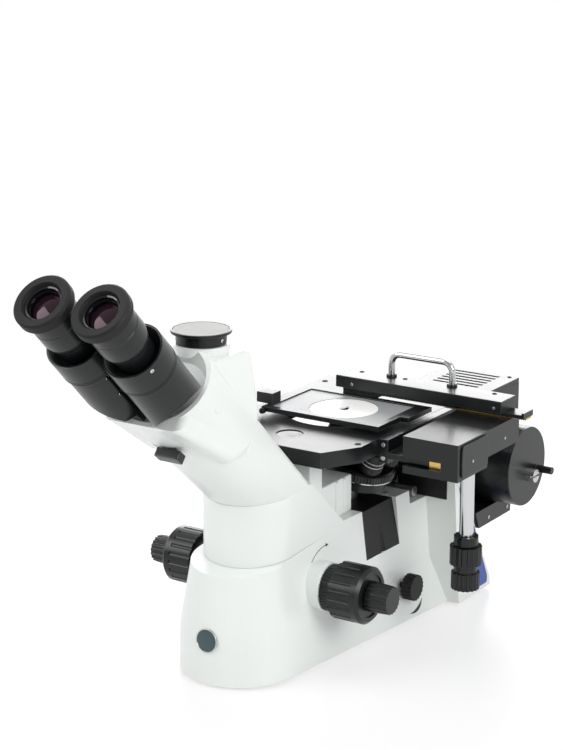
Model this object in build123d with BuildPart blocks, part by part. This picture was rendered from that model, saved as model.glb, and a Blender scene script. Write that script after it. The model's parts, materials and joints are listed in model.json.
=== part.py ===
"""Inverted reflected-light microscope with a trinocular head and a drop-down stage drive.

Millimetres. The origin is the optical axis on the bench, +Z is up, -Y points to the user
and +X to the user's right hand.
"""
import os
from math import atan2, cos, degrees, hypot, radians, sin, tan

from build123d import *

os.makedirs("parts", exist_ok=True)

# Clearances
RUN = 0.05  # shaft in its bore, on the radius
GAP = 0.4  # pieces that pass each other

# Stand casting: half-widths of the nose and of the rear end at three heights
FOOT_H = 3.0
FOOT_R = 10.0
FOOT_PLACES = ((38.0, -190.0), (85.0, 125.0))
BOSS_PLACES = ((36.0, -60.0), (42.0, 60.0))  # screw pillars of the bottom plate
PILLAR_R = 6.0
WALL = 6.0
SKIRT_TOP_Z = 48.0
DECK_Z = 138.0
FRONT_DECK_Z = 128.0  # deck between the neck and the bay
CAVITY_TOP_Z = 104.0
BODY_REAR_Y = 78.0
NOSE_Y = -177.0
NOSE_R_FLOOR = 60.0
NOSE_R_SKIRT = 59.0
NOSE_R_DECK = 44.0
REAR_HALF_FLOOR = 86.0
REAR_HALF_SKIRT = 64.0
REAR_HALF_DECK = 56.0
BAY_FRONT_Y = -40.0
BAY_REAR_Y = 22.0
BAY_FLOOR_Z = 78.0
BRIDGE_Z = 127.0
BRIDGE_REAR_Y = 47.0
LEDGE_Z = 113.0
SADDLE_TOP_Z = 126.0
SADDLE_TOP_HALF = 50.0
SADDLE_WALL = 2.5
GROOVE_R = 7.0
GROOVE_DEPTH = 1.6
GROOVE_L = 34.0
PLATE_T = 3.0

# Neck between the casting and the head
NECK_R = 47.0
NECK_Y = -158.0
NECK_FLARE = 0.08  # half-width gained per millimetre towards the rear
NECK_TILT = 7.0  # tilt of the seams below and above the neck
CREASE_Z = 116.6  # lower seam, above the centre of the nose
SEAM_Z = 178.3  # upper seam, above the centre of the nose
NECK_BACK = 53.0  # the back of the neck is the plane Y + Z = NECK_BACK
NECK_CORNER = 8.0

# Rear column
COLUMN_HALF = 99.5
COLUMN_LEAN = 3.3
COLUMN_TOP_Z = 150.0
COLUMN_HEEL_Y = 147.0
COLUMN_BACK_Y = 110.0
COLUMN_HEEL_Z = 12.0
COLUMN_SLOPE_Z = 94.0
COLUMN_MOUTH = 66.0
POST_HALF = 40.0
POST_FRONT_Y = -118.0
POST_REAR_Y = -95.0
POST_STEP_Z = 166.0
REAR_POST_HALF = 60.0
REAR_POST_Y1 = 105.0

# Optics under the stage
CARRIER_R = 20.0
CARRIER_Z0 = 50.0
ARM_HALF = 15.0
ARM_Z0 = 52.0
ARM_Z1 = 74.0
RACK_HALF = 8.0
RACK_Y1 = -100.0
RACK_Z0 = 55.0
RACK_Z1 = 100.0
LIGHT_R = 11.0
GUIDE_T = 12.0
GUIDE_HALF = 50.0
TURRET_X = 24.0
TURRET_Z = 168.0
TURRET_TILT = 15.0
TURRET_R = 38.0
TURRET_T = 12.0
TURRET_BEVEL = 2.0
MOUNT_R = 33.0
MOUNT_T = 9.5
STUD_R = 6.0
OBJECTIVES = (36.0, 32.0, 34.5, 30.0, 36.0)  # lengths above the turret face
OBJECTIVE_R = 12.0
SHOULDER_H = 3.6
OBJECTIVE_THREAD_R = 10.0
FOCUS_UP = 2.5
ILLUM_R = 24.0
ILLUM_FRONT_Y = 42.0
ILLUM_WALL = 4.0
ILLUM_FLANGE_R = 30.0
ILLUM_FLANGE_T = 3.0
SLIDER_Y = 62.0
SLIDER_R = 5.5
SLIDER_Z = 122.0
SLIDER_X0 = -5.0
SLIDER_END_X = 54.0

# Focus drive
FOCUS_Y = -124.5
FOCUS_Z = 79.0
BOSS_R = 24.0
BOSS_END_X = 68.0
COARSE_SHAFT_R = 5.0
FINE_SHAFT_R = 3.0
PINION_R = 6.0
TENSION_R = 23.0
TENSION_L = 11.0
TENSION_FLUTES = 40
COARSE_R = 28.0
COARSE_END_X = 113.5
COARSE_FLUTES = 20
COARSE_RING_L = 9.0  # smooth ring at the outer end
COARSE_BEVEL = 3.0
COARSE_FACE_R = 21.0
FACE_DEPTH = 1.5
FINE_R = 15.0
FINE_TAPER = 3.5
FINE_END_X = 137.0
FINE_FLUTES = 18
FLUTE_DEPTH = 1.0
INTENSITY_Y = 15.0
INTENSITY_Z = 37.0
INTENSITY_R = 13.5
INTENSITY_T = 11.5
INTENSITY_SHAFT_R = 3.0

# Binocular: the hinge axis leaves the head at 45 degrees, distances S run back from the eye
EYE_ANGLE = 45.0
PIVOT_Y = -413.0
PIVOT_Z = 425.0
EYE_X = 30.5
EYE_U = -22.0
EYECUP_R = 27.0
EYECUP_L = 10.0
EYE_OPENING_R = 17.0
EYEPIECE_R = 22.5
EYEPIECE_END_S = 52.0
EYE_NECK_R = 18.5
RING_TOP_S = 63.0
RING_R = 28.0
RING_LIP = 2.0
FUNNEL_L = 8.0
LENS_SEAT = 5.0
GROOVE = 0.7
HOUSE_TOP_S = 92.0
HOUSE_R = 27.0
HOUSE_BORE_R = 20.0
MITRE_S = 153.5
MITRE_ANGLE = -29.0  # side from which the mitre is cut, about the tube
LUG_TOP_S = 138.0
LUG_T = 15.0
LUG_R = 16.0
HOUSE_FLAT_X = 6.5
HOUSE_TAIL_R = 36.0  # reach of the houses inside the head
HUB_R = 9.0
HUB_FLANGE_R = 18.0
RIM_S = 156.5
RIM_R = 48.5
RIM_DROP = 45.5  # reach of the rim below the hinge axis
RIM_WALL = 4.0
SCOOP_END_S = 178.0
SCOOP_END_R = 34.0
RIM_CHORD_U = 36.0

# Photo port and light path lever on the head
PORT_Y = -240.0
TOWER_HALF = 44.0  # at the height of the bend
TOWER_LEAN = 9.6
TOWER_REAR_Y = -208.0
TOWER_BEND_Z = 275.0
TOWER_LOW = (-262.0, 236.0)
TOWER_ROUND = 8.0
TOWER_TOP_Z = 329.0
COLLAR_R = 26.0
COLLAR_TOP_Z = TOWER_TOP_Z + 8.0
ADAPTER_R = 23.4
ADAPTER_H = 10.0
FLANGE_R = 28.0
FLANGE_H = 3.0
PORT_BORE_R = 19.0
CAP_R = 26.0
CAP_T = 1.5
LEVER_X = 8.0
LEVER_L = 26.0
LEVER_W = 12.0
LEVER_H = 9.0
LEVER_TRAVEL = 18.0
LEVER_SHARE = 0.72  # place of the lever along the head's underside
STEM_L = 8.0
STEM_W = 4.0
STEM_DEPTH = 11.0

# Stage and mechanical drive
STAGE_BOTTOM_Z = 198.0
STAGE_T = 16.0
STAGE_HALF = 82.0
STAGE_FRONT_Y = -131.0
STAGE_REAR_Y = 112.0
STAGE_CHAMFER_X = 22.0
STAGE_CHAMFER_Y = 38.0
STAGE_OPENING_R = 54.75
STAGE_HOLE_R = 13.5
STAGE_HOLE_Y = -92.0
RELIEF_R = 45.0
RAIL_FRONT_Y = -60.0
RAIL_REAR_Y = 70.0
BRACKET_X1 = STAGE_HALF + 10.0
BRACKET_Z0 = 190.0
TONGUE_X1 = BRACKET_X1 + 46.0
TONGUE_Z0 = 195.0
TONGUE_T = 6.0
Y_RACK_W = 15.0
Y_RACK_H = 8.0
CARRIAGE_X0 = BRACKET_X1 + 20.0
CARRIAGE_X1 = CARRIAGE_X0 + 60.0
CARRIAGE_FRONT_Y = -66.0
CARRIAGE_STEP_Y = -6.0
CARRIAGE_REAR_Y = 60.0
CARRIAGE_BOTTOM_Z = 186.0
CARRIAGE_REAR_Z = 196.0  # underside behind the drive
COVER_T = 2.0
COVER_EDGE = 5.0
COVER_FRONT_Y = -60.0
COVER_REAR_Y = -8.0
DRIVE_X = CARRIAGE_X1 - 10.0
DRIVE_Y = -27.0
DRIVE_TUBE_R = 7.0
DRIVE_SLEEVE_R = 4.6
DRIVE_SHAFT_R = 2.6
COLLAR_Z0 = 112.0
COLLAR_H = 9.0
COLLAR_SLOT = 2.0
DRIVE_COLLAR_R = 12.0
Y_KNOB_R = 15.75
Y_KNOB_H = 19.0
KNOB_STEP = 1.0
X_KNOB_R = 14.0
X_KNOB_H = 17.0
X_NECK_R = 11.5
X_NECK_H = 7.0
KNOB_FLUTES = 18

# Cross slide
BAR_X0 = -24.0
BAR_X1 = 166.0
BAR_Y0 = 32.0
BAR_Y1 = 63.0
BAR_Z0 = 229.0
BAR_T = 12.5
X_RAIL_X0 = 20.0
X_RAIL_X1 = 187.0
X_RAIL_Y0 = 40.0
X_RAIL_Y1 = 60.0
X_RAIL_T = 4.0
X_RACK_T = 2.0
X_LIP_T = 3.0  # stop at the outer end of the X rail
X_LIP_H = 6.0
HANDLE_X0 = 27.0
HANDLE_X1 = 97.0
HANDLE_Y = 58.0
HANDLE_H = 24.0
HANDLE_R = 3.4
HANDLE_BEND = 10.0
HOLDER_X0 = -59.0
HOLDER_X1 = 77.0
HOLDER_Y0 = -53.0
HOLDER_Y1 = 37.0
HOLDER_TOP_Z = 223.0
HOLDER_T = 5.0
HOLDER_FRAME = 7.0
HOLDER_POCKET = 1.5
HOLDER_TAB_X1 = 86.0
HOLDER_TAB_Y0 = -10.0
RISER_X0 = -20.0
RISER_X1 = 15.0
CLAMP_X0 = -72.0
CLAMP_X1 = -53.0
CLAMP_Y0 = -42.0
CLAMP_Y1 = -26.0
CLAMP_H = 11.0
INSERT_X = 12.3
INSERT_Y = -10.9
INSERT_R = 34.5
INSERT_T = 2.0
INSERT_LEDGE = 3.5
INSERT_HOLE_R = 5.0

# Lamp
LAMP_Y = 165.0
LAMP_Z = 134.5
DRUM_R = 42.0
DRUM_X0 = -20.0
DRUM_X1 = 126.0
DRUM_WALL = 3.0
DRUM_PAD_HALF = 10.0
END_COVER_T = 4.0
BEAM_X0 = -60.0
BEAM_T = 19.0
BEAM_REAR_Y = 190.0
HOUSE_X0 = 8.0
HOUSE_X1 = 98.0
LAMP_FRONT_Y = 127.0
LAMP_REAR_Y = 205.0
LAMP_TOP_Z = 217.0
VENT_T = 5.0
VENT_SLOTS = 7
VENT_PITCH = 9.5
VENT_L = 53.0
VENT_W = 3.5
LAMP_KNOB_R = 7.0
LAMP_KNOB_H = 10.0
LAMP_PIN_R = 4.0
LAMP_PIN_L = 18.0
LAMP_KNOB_AT = (167.0, 125.0)
LAMP_PIN_AT = (189.0, 126.0)
SOCKET_R = 12.0
SOCKET_X0 = 80.0
BULB_R = 8.0
BULB_X0 = 55.0
INLET_X = -66.0
INLET_Z = 122.0
INLET_W = 28.0
INLET_H = 21.0
INLET_DEPTH = 18.0
INLET_RIM = 3.0
INLET_FLANGE_T = 2.0

UP = (Align.CENTER, Align.CENTER, Align.MIN)
DOWN = (Align.CENTER, Align.CENTER, Align.MAX)

STAND_LEVELS = (
    (FOOT_H, NOSE_R_FLOOR, REAR_HALF_FLOOR),
    (SKIRT_TOP_Z, NOSE_R_SKIRT, REAR_HALF_SKIRT),
    (DECK_Z, NOSE_R_DECK, REAR_HALF_DECK),
)


def stand_half_widths(z):
    """Half-width of the casting at the nose and at the rear end, at height z."""
    low, high = STAND_LEVELS[:2] if z <= SKIRT_TOP_Z else STAND_LEVELS[1:]
    share = (z - low[0]) / (high[0] - low[0])
    return tuple(a + share * (b - a) for a, b in zip(low[1:], high[1:]))


def stand_half(y, z):
    """Half-width of the casting's flank at one place."""
    nose, rear = stand_half_widths(z)
    return nose + (rear - nose) * (y - NOSE_Y) / (BODY_REAR_Y - NOSE_Y)


def stand_plan(z, inset=0.0):
    """Plan of the casting at height z: a round nose and straight flanks."""
    nose, rear = (half - inset for half in stand_half_widths(z))
    rear_y = BODY_REAR_Y - inset
    with BuildSketch(Plane.XY.offset(z), mode=Mode.PRIVATE) as plan:
        with BuildLine():
            ThreePointArc((-nose, NOSE_Y), (0, NOSE_Y - nose), (nose, NOSE_Y))
            Polyline((nose, NOSE_Y), (rear, rear_y), (-rear, rear_y), (-nose, NOSE_Y))
        make_face()
    return plan.sketch


def side_profile(points):
    """A closed outline in the Y-Z plane."""
    with BuildSketch(Plane.YZ, mode=Mode.PRIVATE) as profile:
        with BuildLine():
            Polyline(*points, close=True)
        make_face()
    return profile.sketch


def fluted_disc(plane, radius, flutes):
    """A knob's section: a disc with round flutes."""
    flute_r = 0.3 * 2 * radius * sin(radians(180 / flutes))
    with BuildSketch(plane, mode=Mode.PRIVATE) as section:
        Circle(radius)
        with PolarLocations(radius + flute_r - FLUTE_DEPTH, flutes):
            Circle(flute_r, mode=Mode.SUBTRACT)
    return section.sketch


def turned(plane, outline):
    """Half section of a turned piece: radius across, height along the plane's normal."""
    section_plane = Plane(plane.origin, x_dir=plane.x_dir, z_dir=-plane.y_dir)
    with BuildSketch(section_plane, mode=Mode.PRIVATE) as section:
        with BuildLine():
            Polyline(*outline, close=True)
        make_face()
    return section.sketch


def spin_axis(plane):
    """Axis of a turned piece."""
    return Axis(plane.origin, plane.z_dir)


def upright(x, y, z):
    """Level plane at a point."""
    return Plane(origin=(x, y, z))


def along_x(x, y, z):
    """Plane at a point, facing +X."""
    return Plane(origin=(x, y, z), x_dir=(0, 1, 0), z_dir=(1, 0, 0))


def along_y(x, y, z):
    """Plane at a point, facing +Y."""
    return Plane(origin=(x, y, z), x_dir=(1, 0, 0), z_dir=(0, 1, 0))


def rod(plane, radius, length, mode=Mode.ADD):
    """A cylinder standing on a plane, in the open builder."""
    with Locations(plane):
        Cylinder(radius, length, align=UP, mode=mode)


def block(x0, x1, y0, y1, z0, z1, mode=Mode.ADD):
    """A box between two corners, in the open builder."""
    with Locations(((x0 + x1) / 2, (y0 + y1) / 2, (z0 + z1) / 2)):
        Box(x1 - x0, y1 - y0, z1 - z0, mode=mode)


def crease_z(y):
    """Height of the seam below the neck."""
    return CREASE_Z + tan(radians(NECK_TILT)) * (y - NECK_Y)


NECK_KNEE_Z = (crease_z(0) + tan(radians(NECK_TILT)) * NECK_BACK) / (1 + tan(radians(NECK_TILT)))
CUT_TOP_Z = DECK_Z + 2 * WALL
NOSE_FRONT_Y = NOSE_Y - NOSE_R_FLOOR - WALL
RIM_STEP = 25.0  # angle of the flank's first edge on the rim
RIM_CORNER = 40.0  # angle where the back of the rim starts

eye_dir = Vector(0, -cos(radians(EYE_ANGLE)), sin(radians(EYE_ANGLE)))
arm_plane = Plane(origin=(0, PIVOT_Y, PIVOT_Z), x_dir=(1, 0, 0), z_dir=eye_dir)
turret_dir = Vector(sin(radians(TURRET_TILT)), 0, cos(radians(TURRET_TILT)))
turret_plane = Plane(origin=(TURRET_X, 0, TURRET_Z), x_dir=(cos(radians(TURRET_TILT)), 0,
                     -sin(radians(TURRET_TILT))), z_dir=turret_dir)
objective_circle_r = TURRET_X / cos(radians(TURRET_TILT))
focus_axis = (FOCUS_Y, FOCUS_Z)
coarse_x0 = BOSS_END_X + TENSION_L + 3 * GAP
fine_l = FINE_END_X - COARSE_END_X - GAP
seam_dir = Vector(0, -sin(radians(NECK_TILT)), cos(radians(NECK_TILT)))
crease_plane = Plane(origin=(0, NECK_Y, CREASE_Z), x_dir=(1, 0, 0), z_dir=seam_dir)
seam_plane = Plane(origin=(0, NECK_Y, SEAM_Z), x_dir=(1, 0, 0), z_dir=seam_dir)
back_plane = Plane(origin=(0, NECK_BACK, 0), x_dir=(1, 0, 0), z_dir=(0, 1, 1))
eye_reach = hypot(EYE_X, EYE_U)
HOUSE_END_S = LUG_TOP_S + 2 * LUG_T + GAP


def at_s(distance):
    """Plane square to the eyepieces, a distance back from the eye."""
    return arm_plane.offset(-distance)


def eye_at(side, distance):
    """Plane across one eyepiece tube, a distance back from the eye."""
    return Plane(at_s(distance).from_local_coords(Vector(side * EYE_X, EYE_U, 0)), x_dir=(1, 0, 0), z_dir=eye_dir)


def mitre_plane(side):
    """Plane that cuts the rear outer corner off one prism house."""
    angle = radians(MITRE_ANGLE)
    reach = arm_plane.x_dir * side * cos(angle) + arm_plane.y_dir * sin(angle)
    return Plane(eye_at(side, MITRE_S).origin, x_dir=eye_dir.cross(reach), z_dir=reach - eye_dir)


def lug_section(side, distance):
    """Hinge lug of one prism house with the web to its tube."""
    with BuildSketch(at_s(distance), mode=Mode.PRIVATE) as section:
        Circle(LUG_R)
        with Locations((side * EYE_X / 2, EYE_U / 2)):
            Rectangle(eye_reach, 2 * LUG_R, rotation=degrees(atan2(EYE_U, side * EYE_X)))
    return section.sketch


def house_trim():
    """Ring cut off both prism houses where they turn inside the head."""
    tail_l = HOUSE_END_S - RIM_S + 1
    return turned(at_s(HOUSE_END_S), [(HOUSE_TAIL_R, 0), (2 * HOUSE_TAIL_R, 0), (2 * HOUSE_TAIL_R, tail_l),
                                      (HOUSE_TAIL_R, tail_l)])


def objective_plane(index):
    """Plane across the foot of one objective, on the turret's face."""
    angle = radians(360 / len(OBJECTIVES) * index)
    tilt = radians(TURRET_TILT)
    foot = Vector(-objective_circle_r * cos(angle), objective_circle_r * sin(angle), 0)
    lean = Vector(-sin(tilt) * cos(angle), sin(tilt) * sin(angle), cos(tilt))
    origin = turret_plane.from_local_coords(foot)
    return Plane(origin, z_dir=turret_plane.from_local_coords(foot + lean) - origin)


def focus_end(side, x):
    """Plane across the focus shaft on one side, facing outward."""
    return Plane(origin=(side * x, *focus_axis), x_dir=(0, 1, 0), z_dir=(side, 0, 0))


def coarse_knob(side):
    """Fluted knob with a smooth bevelled ring and a recessed face, in the open builder."""
    ring_x0 = COARSE_END_X - COARSE_RING_L
    ring = focus_end(side, ring_x0)
    extrude(fluted_disc(focus_end(side, coarse_x0), COARSE_R, COARSE_FLUTES), amount=ring_x0 - coarse_x0)
    revolve(turned(ring, [(0, 0), (COARSE_R, 0), (COARSE_R, COARSE_RING_L - COARSE_BEVEL),
                          (COARSE_R - COARSE_BEVEL, COARSE_RING_L), (0, COARSE_RING_L)]), axis=spin_axis(ring))
    rod(focus_end(side, COARSE_END_X - FACE_DEPTH), COARSE_FACE_R, FACE_DEPTH, Mode.SUBTRACT)


def fine_knob(side):
    """Fluted knob that narrows outward, in the open builder."""
    extrude(fluted_disc(focus_end(side, COARSE_END_X + GAP), FINE_R, FINE_FLUTES), amount=fine_l, taper=FINE_TAPER)


def saddle_plan(z, inset=0.0, reach=0.0):
    """Plan of the bay cover at height z."""
    share = (z - BAY_FLOOR_Z) / (SADDLE_TOP_Z - BAY_FLOOR_Z)
    front_y, rear_y = BAY_FRONT_Y + GAP - reach, BAY_REAR_Y - GAP + reach
    front, rear = (stand_half(y, BAY_FLOOR_Z) * (1 - share) + SADDLE_TOP_HALF * share - inset
                   for y in (front_y, rear_y))
    with BuildSketch(Plane.XY.offset(z), mode=Mode.PRIVATE) as plan:
        with BuildLine():
            Polyline((-front, front_y), (front, front_y), (rear, rear_y), (-rear, rear_y), close=True)
        make_face()
    return plan.sketch


def column_back_y(z):
    """Rear face of the column on its raked part."""
    share = (z - COLUMN_HEEL_Z) / (COLUMN_SLOPE_Z - COLUMN_HEEL_Z)
    return COLUMN_HEEL_Y + share * (COLUMN_BACK_Y - COLUMN_HEEL_Y)


# Base casting: a hollow shell with a round nose, flared skirt, bay and focus bosses
with BuildPart() as base_casting:
    loft([stand_plan(FOOT_H), stand_plan(SKIRT_TOP_Z)], ruled=True)
    loft([stand_plan(SKIRT_TOP_Z), stand_plan(DECK_Z)], ruled=True)
    with BuildSketch(Plane.YZ.offset(-BOSS_END_X)):
        with Locations(focus_axis):
            Circle(BOSS_R)
    extrude(amount=2 * BOSS_END_X)
    loft([stand_plan(FOOT_H, WALL), stand_plan(SKIRT_TOP_Z, WALL)], ruled=True, mode=Mode.SUBTRACT)
    loft([stand_plan(SKIRT_TOP_Z, WALL), stand_plan(CAVITY_TOP_Z, WALL)], ruled=True, mode=Mode.SUBTRACT)
    shelf_x = stand_half(BAY_FRONT_Y, BAY_FLOOR_Z) - WALL / 2
    for side in (-1, 1):
        with Locations((side * (GUIDE_HALF - WALL + shelf_x) / 2, (BAY_FRONT_Y + BAY_REAR_Y) / 2, BAY_FLOOR_Z)):
            Box(shelf_x - GUIDE_HALF + WALL, BAY_REAR_Y - BAY_FRONT_Y, 2 * WALL, align=DOWN)
    for x, y in BOSS_PLACES:
        for side in (-1, 1):
            rod(upright(side * x, y, FOOT_H + PLATE_T), PILLAR_R, CAVITY_TOP_Z - FOOT_H - PLATE_T)
    front_cut = side_profile([(NOSE_FRONT_Y, crease_z(NOSE_FRONT_Y)), (NECK_BACK - NECK_KNEE_Z, NECK_KNEE_Z),
                              (NECK_BACK - CUT_TOP_Z, CUT_TOP_Z), (NOSE_FRONT_Y, CUT_TOP_Z)])
    extrude(front_cut, amount=REAR_HALF_FLOOR, both=True, mode=Mode.SUBTRACT)
    block(-REAR_HALF_FLOOR, REAR_HALF_FLOOR, NECK_BACK - CUT_TOP_Z, BAY_FRONT_Y, FRONT_DECK_Z, CUT_TOP_Z, Mode.SUBTRACT)
    bay_cut = side_profile([(BAY_FRONT_Y, BAY_FLOOR_Z), (BAY_REAR_Y, BAY_FLOOR_Z), (BAY_REAR_Y, BRIDGE_Z),
                            (BRIDGE_REAR_Y, BRIDGE_Z), (BRIDGE_REAR_Y, LEDGE_Z), (BODY_REAR_Y + WALL, LEDGE_Z),
                            (BODY_REAR_Y + WALL, CUT_TOP_Z), (BAY_FRONT_Y, CUT_TOP_Z)])
    extrude(bay_cut, amount=REAR_HALF_FLOOR, both=True, mode=Mode.SUBTRACT)
    with BuildSketch(Plane.XZ.offset(-BODY_REAR_Y - WALL)):
        with Locations((0, LAMP_Z)):
            Circle(ILLUM_R + GAP)
    extrude(amount=BODY_REAR_Y + WALL - ILLUM_FRONT_Y + GAP, mode=Mode.SUBTRACT)
    with BuildSketch(Plane.YZ.offset(-BOSS_END_X)):
        with Locations(focus_axis):
            Circle(COARSE_SHAFT_R + RUN)
    extrude(amount=2 * BOSS_END_X, mode=Mode.SUBTRACT)
    with BuildSketch(Plane.YZ):
        with Locations((INTENSITY_Y, INTENSITY_Z)):
            Circle(INTENSITY_SHAFT_R + RUN)
    extrude(amount=REAR_HALF_FLOOR, mode=Mode.SUBTRACT)
base_casting.part.label = "base_casting"
export_step(base_casting.part, "parts/base_casting.step")

# Bottom plate: sheet steel let into the casting, screwed to its pillars
with BuildPart() as bottom_plate:
    loft([stand_plan(FOOT_H, WALL + GAP), stand_plan(FOOT_H + PLATE_T, WALL + GAP)], ruled=True)
bottom_plate.part.label = "bottom_plate"
export_step(bottom_plate.part, "parts/bottom_plate.step")

# Rubber feet: two under the nose, two under the column and a pad under the optical axis
with BuildPart() as rubber_feet:
    rod(upright(0, 0, 0), FOOT_R, FOOT_H)
    for x, y in FOOT_PLACES:
        for side in (-1, 1):
            rod(upright(side * x, y, 0), FOOT_R, FOOT_H)
rubber_feet.part.label = "rubber_feet"
export_step(rubber_feet.part, "parts/rubber_feet.step")

# Front arm: the neck, cut by two tilted seams and by its sloping back
with BuildPart() as front_arm:
    neck_half = NECK_R + NECK_FLARE * (BAY_FRONT_Y - NECK_Y)
    with BuildSketch(Plane.XY.offset(CREASE_Z - NECK_R)):
        with BuildLine():
            ThreePointArc((-NECK_R, NECK_Y), (0, NECK_Y - NECK_R), (NECK_R, NECK_Y))
            Polyline((NECK_R, NECK_Y), (neck_half, BAY_FRONT_Y), (-neck_half, BAY_FRONT_Y), (-NECK_R, NECK_Y))
        make_face()
    extrude(amount=SEAM_Z - CREASE_Z + 2 * NECK_R)
    split(bisect_by=crease_plane, keep=Keep.TOP)
    split(bisect_by=seam_plane, keep=Keep.BOTTOM)
    split(bisect_by=back_plane, keep=Keep.BOTTOM)
front_arm.part.label = "front_arm"
export_step(front_arm.part, "parts/front_arm.step")

# Rear column: a hollow casting with a raked back and leaning flanks
column_inner_half = COLUMN_HALF - 2 * WALL - tan(radians(COLUMN_LEAN)) * (COLUMN_TOP_Z - FOOT_H)
with BuildPart() as rear_column:
    extrude(side_profile([(BODY_REAR_Y, FOOT_H), (COLUMN_HEEL_Y, FOOT_H), (COLUMN_HEEL_Y, COLUMN_HEEL_Z),
                          (COLUMN_BACK_Y, COLUMN_SLOPE_Z), (COLUMN_BACK_Y, COLUMN_TOP_Z),
                          (BODY_REAR_Y, COLUMN_TOP_Z)]), amount=COLUMN_HALF, both=True)
    for side in (-1, 1):
        flank_dir = (side * cos(radians(COLUMN_LEAN)), 0, sin(radians(COLUMN_LEAN)))
        split(bisect_by=Plane((side * COLUMN_HALF, 0, FOOT_H), x_dir=(0, 1, 0), z_dir=flank_dir), keep=Keep.BOTTOM)
    extrude(side_profile([(BODY_REAR_Y + WALL, FOOT_H + WALL), (COLUMN_HEEL_Y - 1.5 * WALL, FOOT_H + WALL),
                          (COLUMN_BACK_Y - WALL, COLUMN_SLOPE_Z), (COLUMN_BACK_Y - WALL, COLUMN_TOP_Z - WALL),
                          (BODY_REAR_Y + WALL, COLUMN_TOP_Z - WALL)]),
            amount=column_inner_half, both=True, mode=Mode.SUBTRACT)
    block(-COLUMN_MOUTH, COLUMN_MOUTH, BODY_REAR_Y + WALL, COLUMN_HEEL_Y - 2 * WALL, FOOT_H, FOOT_H + WALL,
          Mode.SUBTRACT)
    rod(along_y(0, BODY_REAR_Y, LAMP_Z), ILLUM_R + GAP, COLUMN_BACK_Y - BODY_REAR_Y, Mode.SUBTRACT)
    block(INLET_X - INLET_W / 2, INLET_X + INLET_W / 2, COLUMN_BACK_Y - INLET_DEPTH - GAP, COLUMN_BACK_Y,
          INLET_Z - INLET_H / 2, INLET_Z + INLET_H / 2, Mode.SUBTRACT)
rear_column.part.label = "rear_column"
export_step(rear_column.part, "parts/rear_column.step")

# Front stage post: stands on the deck and leans on the back of the neck
with BuildPart() as stage_front_post:
    extrude(side_profile([(POST_FRONT_Y, NECK_BACK - POST_FRONT_Y), (POST_FRONT_Y, STAGE_BOTTOM_Z),
                          (POST_REAR_Y, STAGE_BOTTOM_Z), (POST_REAR_Y, POST_STEP_Z),
                          (BAY_FRONT_Y, POST_STEP_Z), (BAY_FRONT_Y, FRONT_DECK_Z), (NECK_BACK - FRONT_DECK_Z, FRONT_DECK_Z)]),
            amount=POST_HALF, both=True)
stage_front_post.part.label = "stage_front_post"
export_step(stage_front_post.part, "parts/stage_front_post.step")

# Rear stage post: a bridge over the illuminator tube
with BuildPart() as stage_rear_post:
    block(-REAR_POST_HALF, REAR_POST_HALF, BODY_REAR_Y, REAR_POST_Y1, COLUMN_TOP_Z, STAGE_BOTTOM_Z)
    rod(along_y(0, BODY_REAR_Y, LAMP_Z), ILLUM_R + GAP, REAR_POST_Y1 - BODY_REAR_Y, Mode.SUBTRACT)
stage_rear_post.part.label = "stage_rear_post"
export_step(stage_rear_post.part, "parts/stage_rear_post.step")

# Bay cover: a sheet saddle over the focus guide, open to the front and rear
with BuildPart() as bay_cover:
    loft([saddle_plan(BAY_FLOOR_Z), saddle_plan(SADDLE_TOP_Z)], ruled=True)
    loft([saddle_plan(BAY_FLOOR_Z, SADDLE_WALL, WALL), saddle_plan(SADDLE_TOP_Z - SADDLE_WALL, SADDLE_WALL, WALL)],
         ruled=True, mode=Mode.SUBTRACT)
    rod(upright(0, 0, BAY_FLOOR_Z), CARRIER_R + GAP, SADDLE_TOP_Z - BAY_FLOOR_Z, Mode.SUBTRACT)
    groove_y = (BAY_FRONT_Y + BAY_REAR_Y) / 2
    foot_x, lean_x = stand_half(groove_y, BAY_FLOOR_Z), SADDLE_TOP_HALF - stand_half(groove_y, BAY_FLOOR_Z)
    for side in (-1, 1):
        groove = Plane((side * (foot_x + GROOVE_R - GROOVE_DEPTH), groove_y, BAY_FLOOR_Z),
                       z_dir=(side * lean_x, 0, SADDLE_TOP_Z - BAY_FLOOR_Z))
        with Locations(groove):
            Cone(GROOVE_R, GROOVE_R - GROOVE_DEPTH, GROOVE_L, align=UP, mode=Mode.SUBTRACT)
bay_cover.part.label = "bay_cover"
export_step(bay_cover.part, "parts/bay_cover.step")

# Illuminator tube: lies in the casting and is flanged to the back of the column
with BuildPart() as illuminator_tube:
    rod(along_y(0, ILLUM_FRONT_Y, LAMP_Z), ILLUM_R, LAMP_Y - ILLUM_FRONT_Y)
    rod(along_y(0, COLUMN_BACK_Y, LAMP_Z), ILLUM_FLANGE_R, ILLUM_FLANGE_T)
    rod(along_x(DRUM_X0, LAMP_Y, LAMP_Z), DRUM_R + GAP, DRUM_X1 - DRUM_X0, Mode.SUBTRACT)
    rod(along_y(0, ILLUM_FRONT_Y, LAMP_Z), ILLUM_R - ILLUM_WALL, LAMP_Y - ILLUM_FRONT_Y, Mode.SUBTRACT)
    rod(along_x(0, SLIDER_Y, SLIDER_Z), SLIDER_R + RUN, ILLUM_FLANGE_R, Mode.SUBTRACT)
illuminator_tube.part.label = "illuminator_tube"
export_step(illuminator_tube.part, "parts/illuminator_tube.step")

# Filter slider: a push-pull rod through the wall of the illuminator tube
with BuildPart() as filter_slider:
    rod(along_x(SLIDER_X0, SLIDER_Y, SLIDER_Z), SLIDER_R, SLIDER_END_X - SLIDER_X0)
filter_slider.part.label = "filter_slider"
export_step(filter_slider.part, "parts/filter_slider.step")

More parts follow.
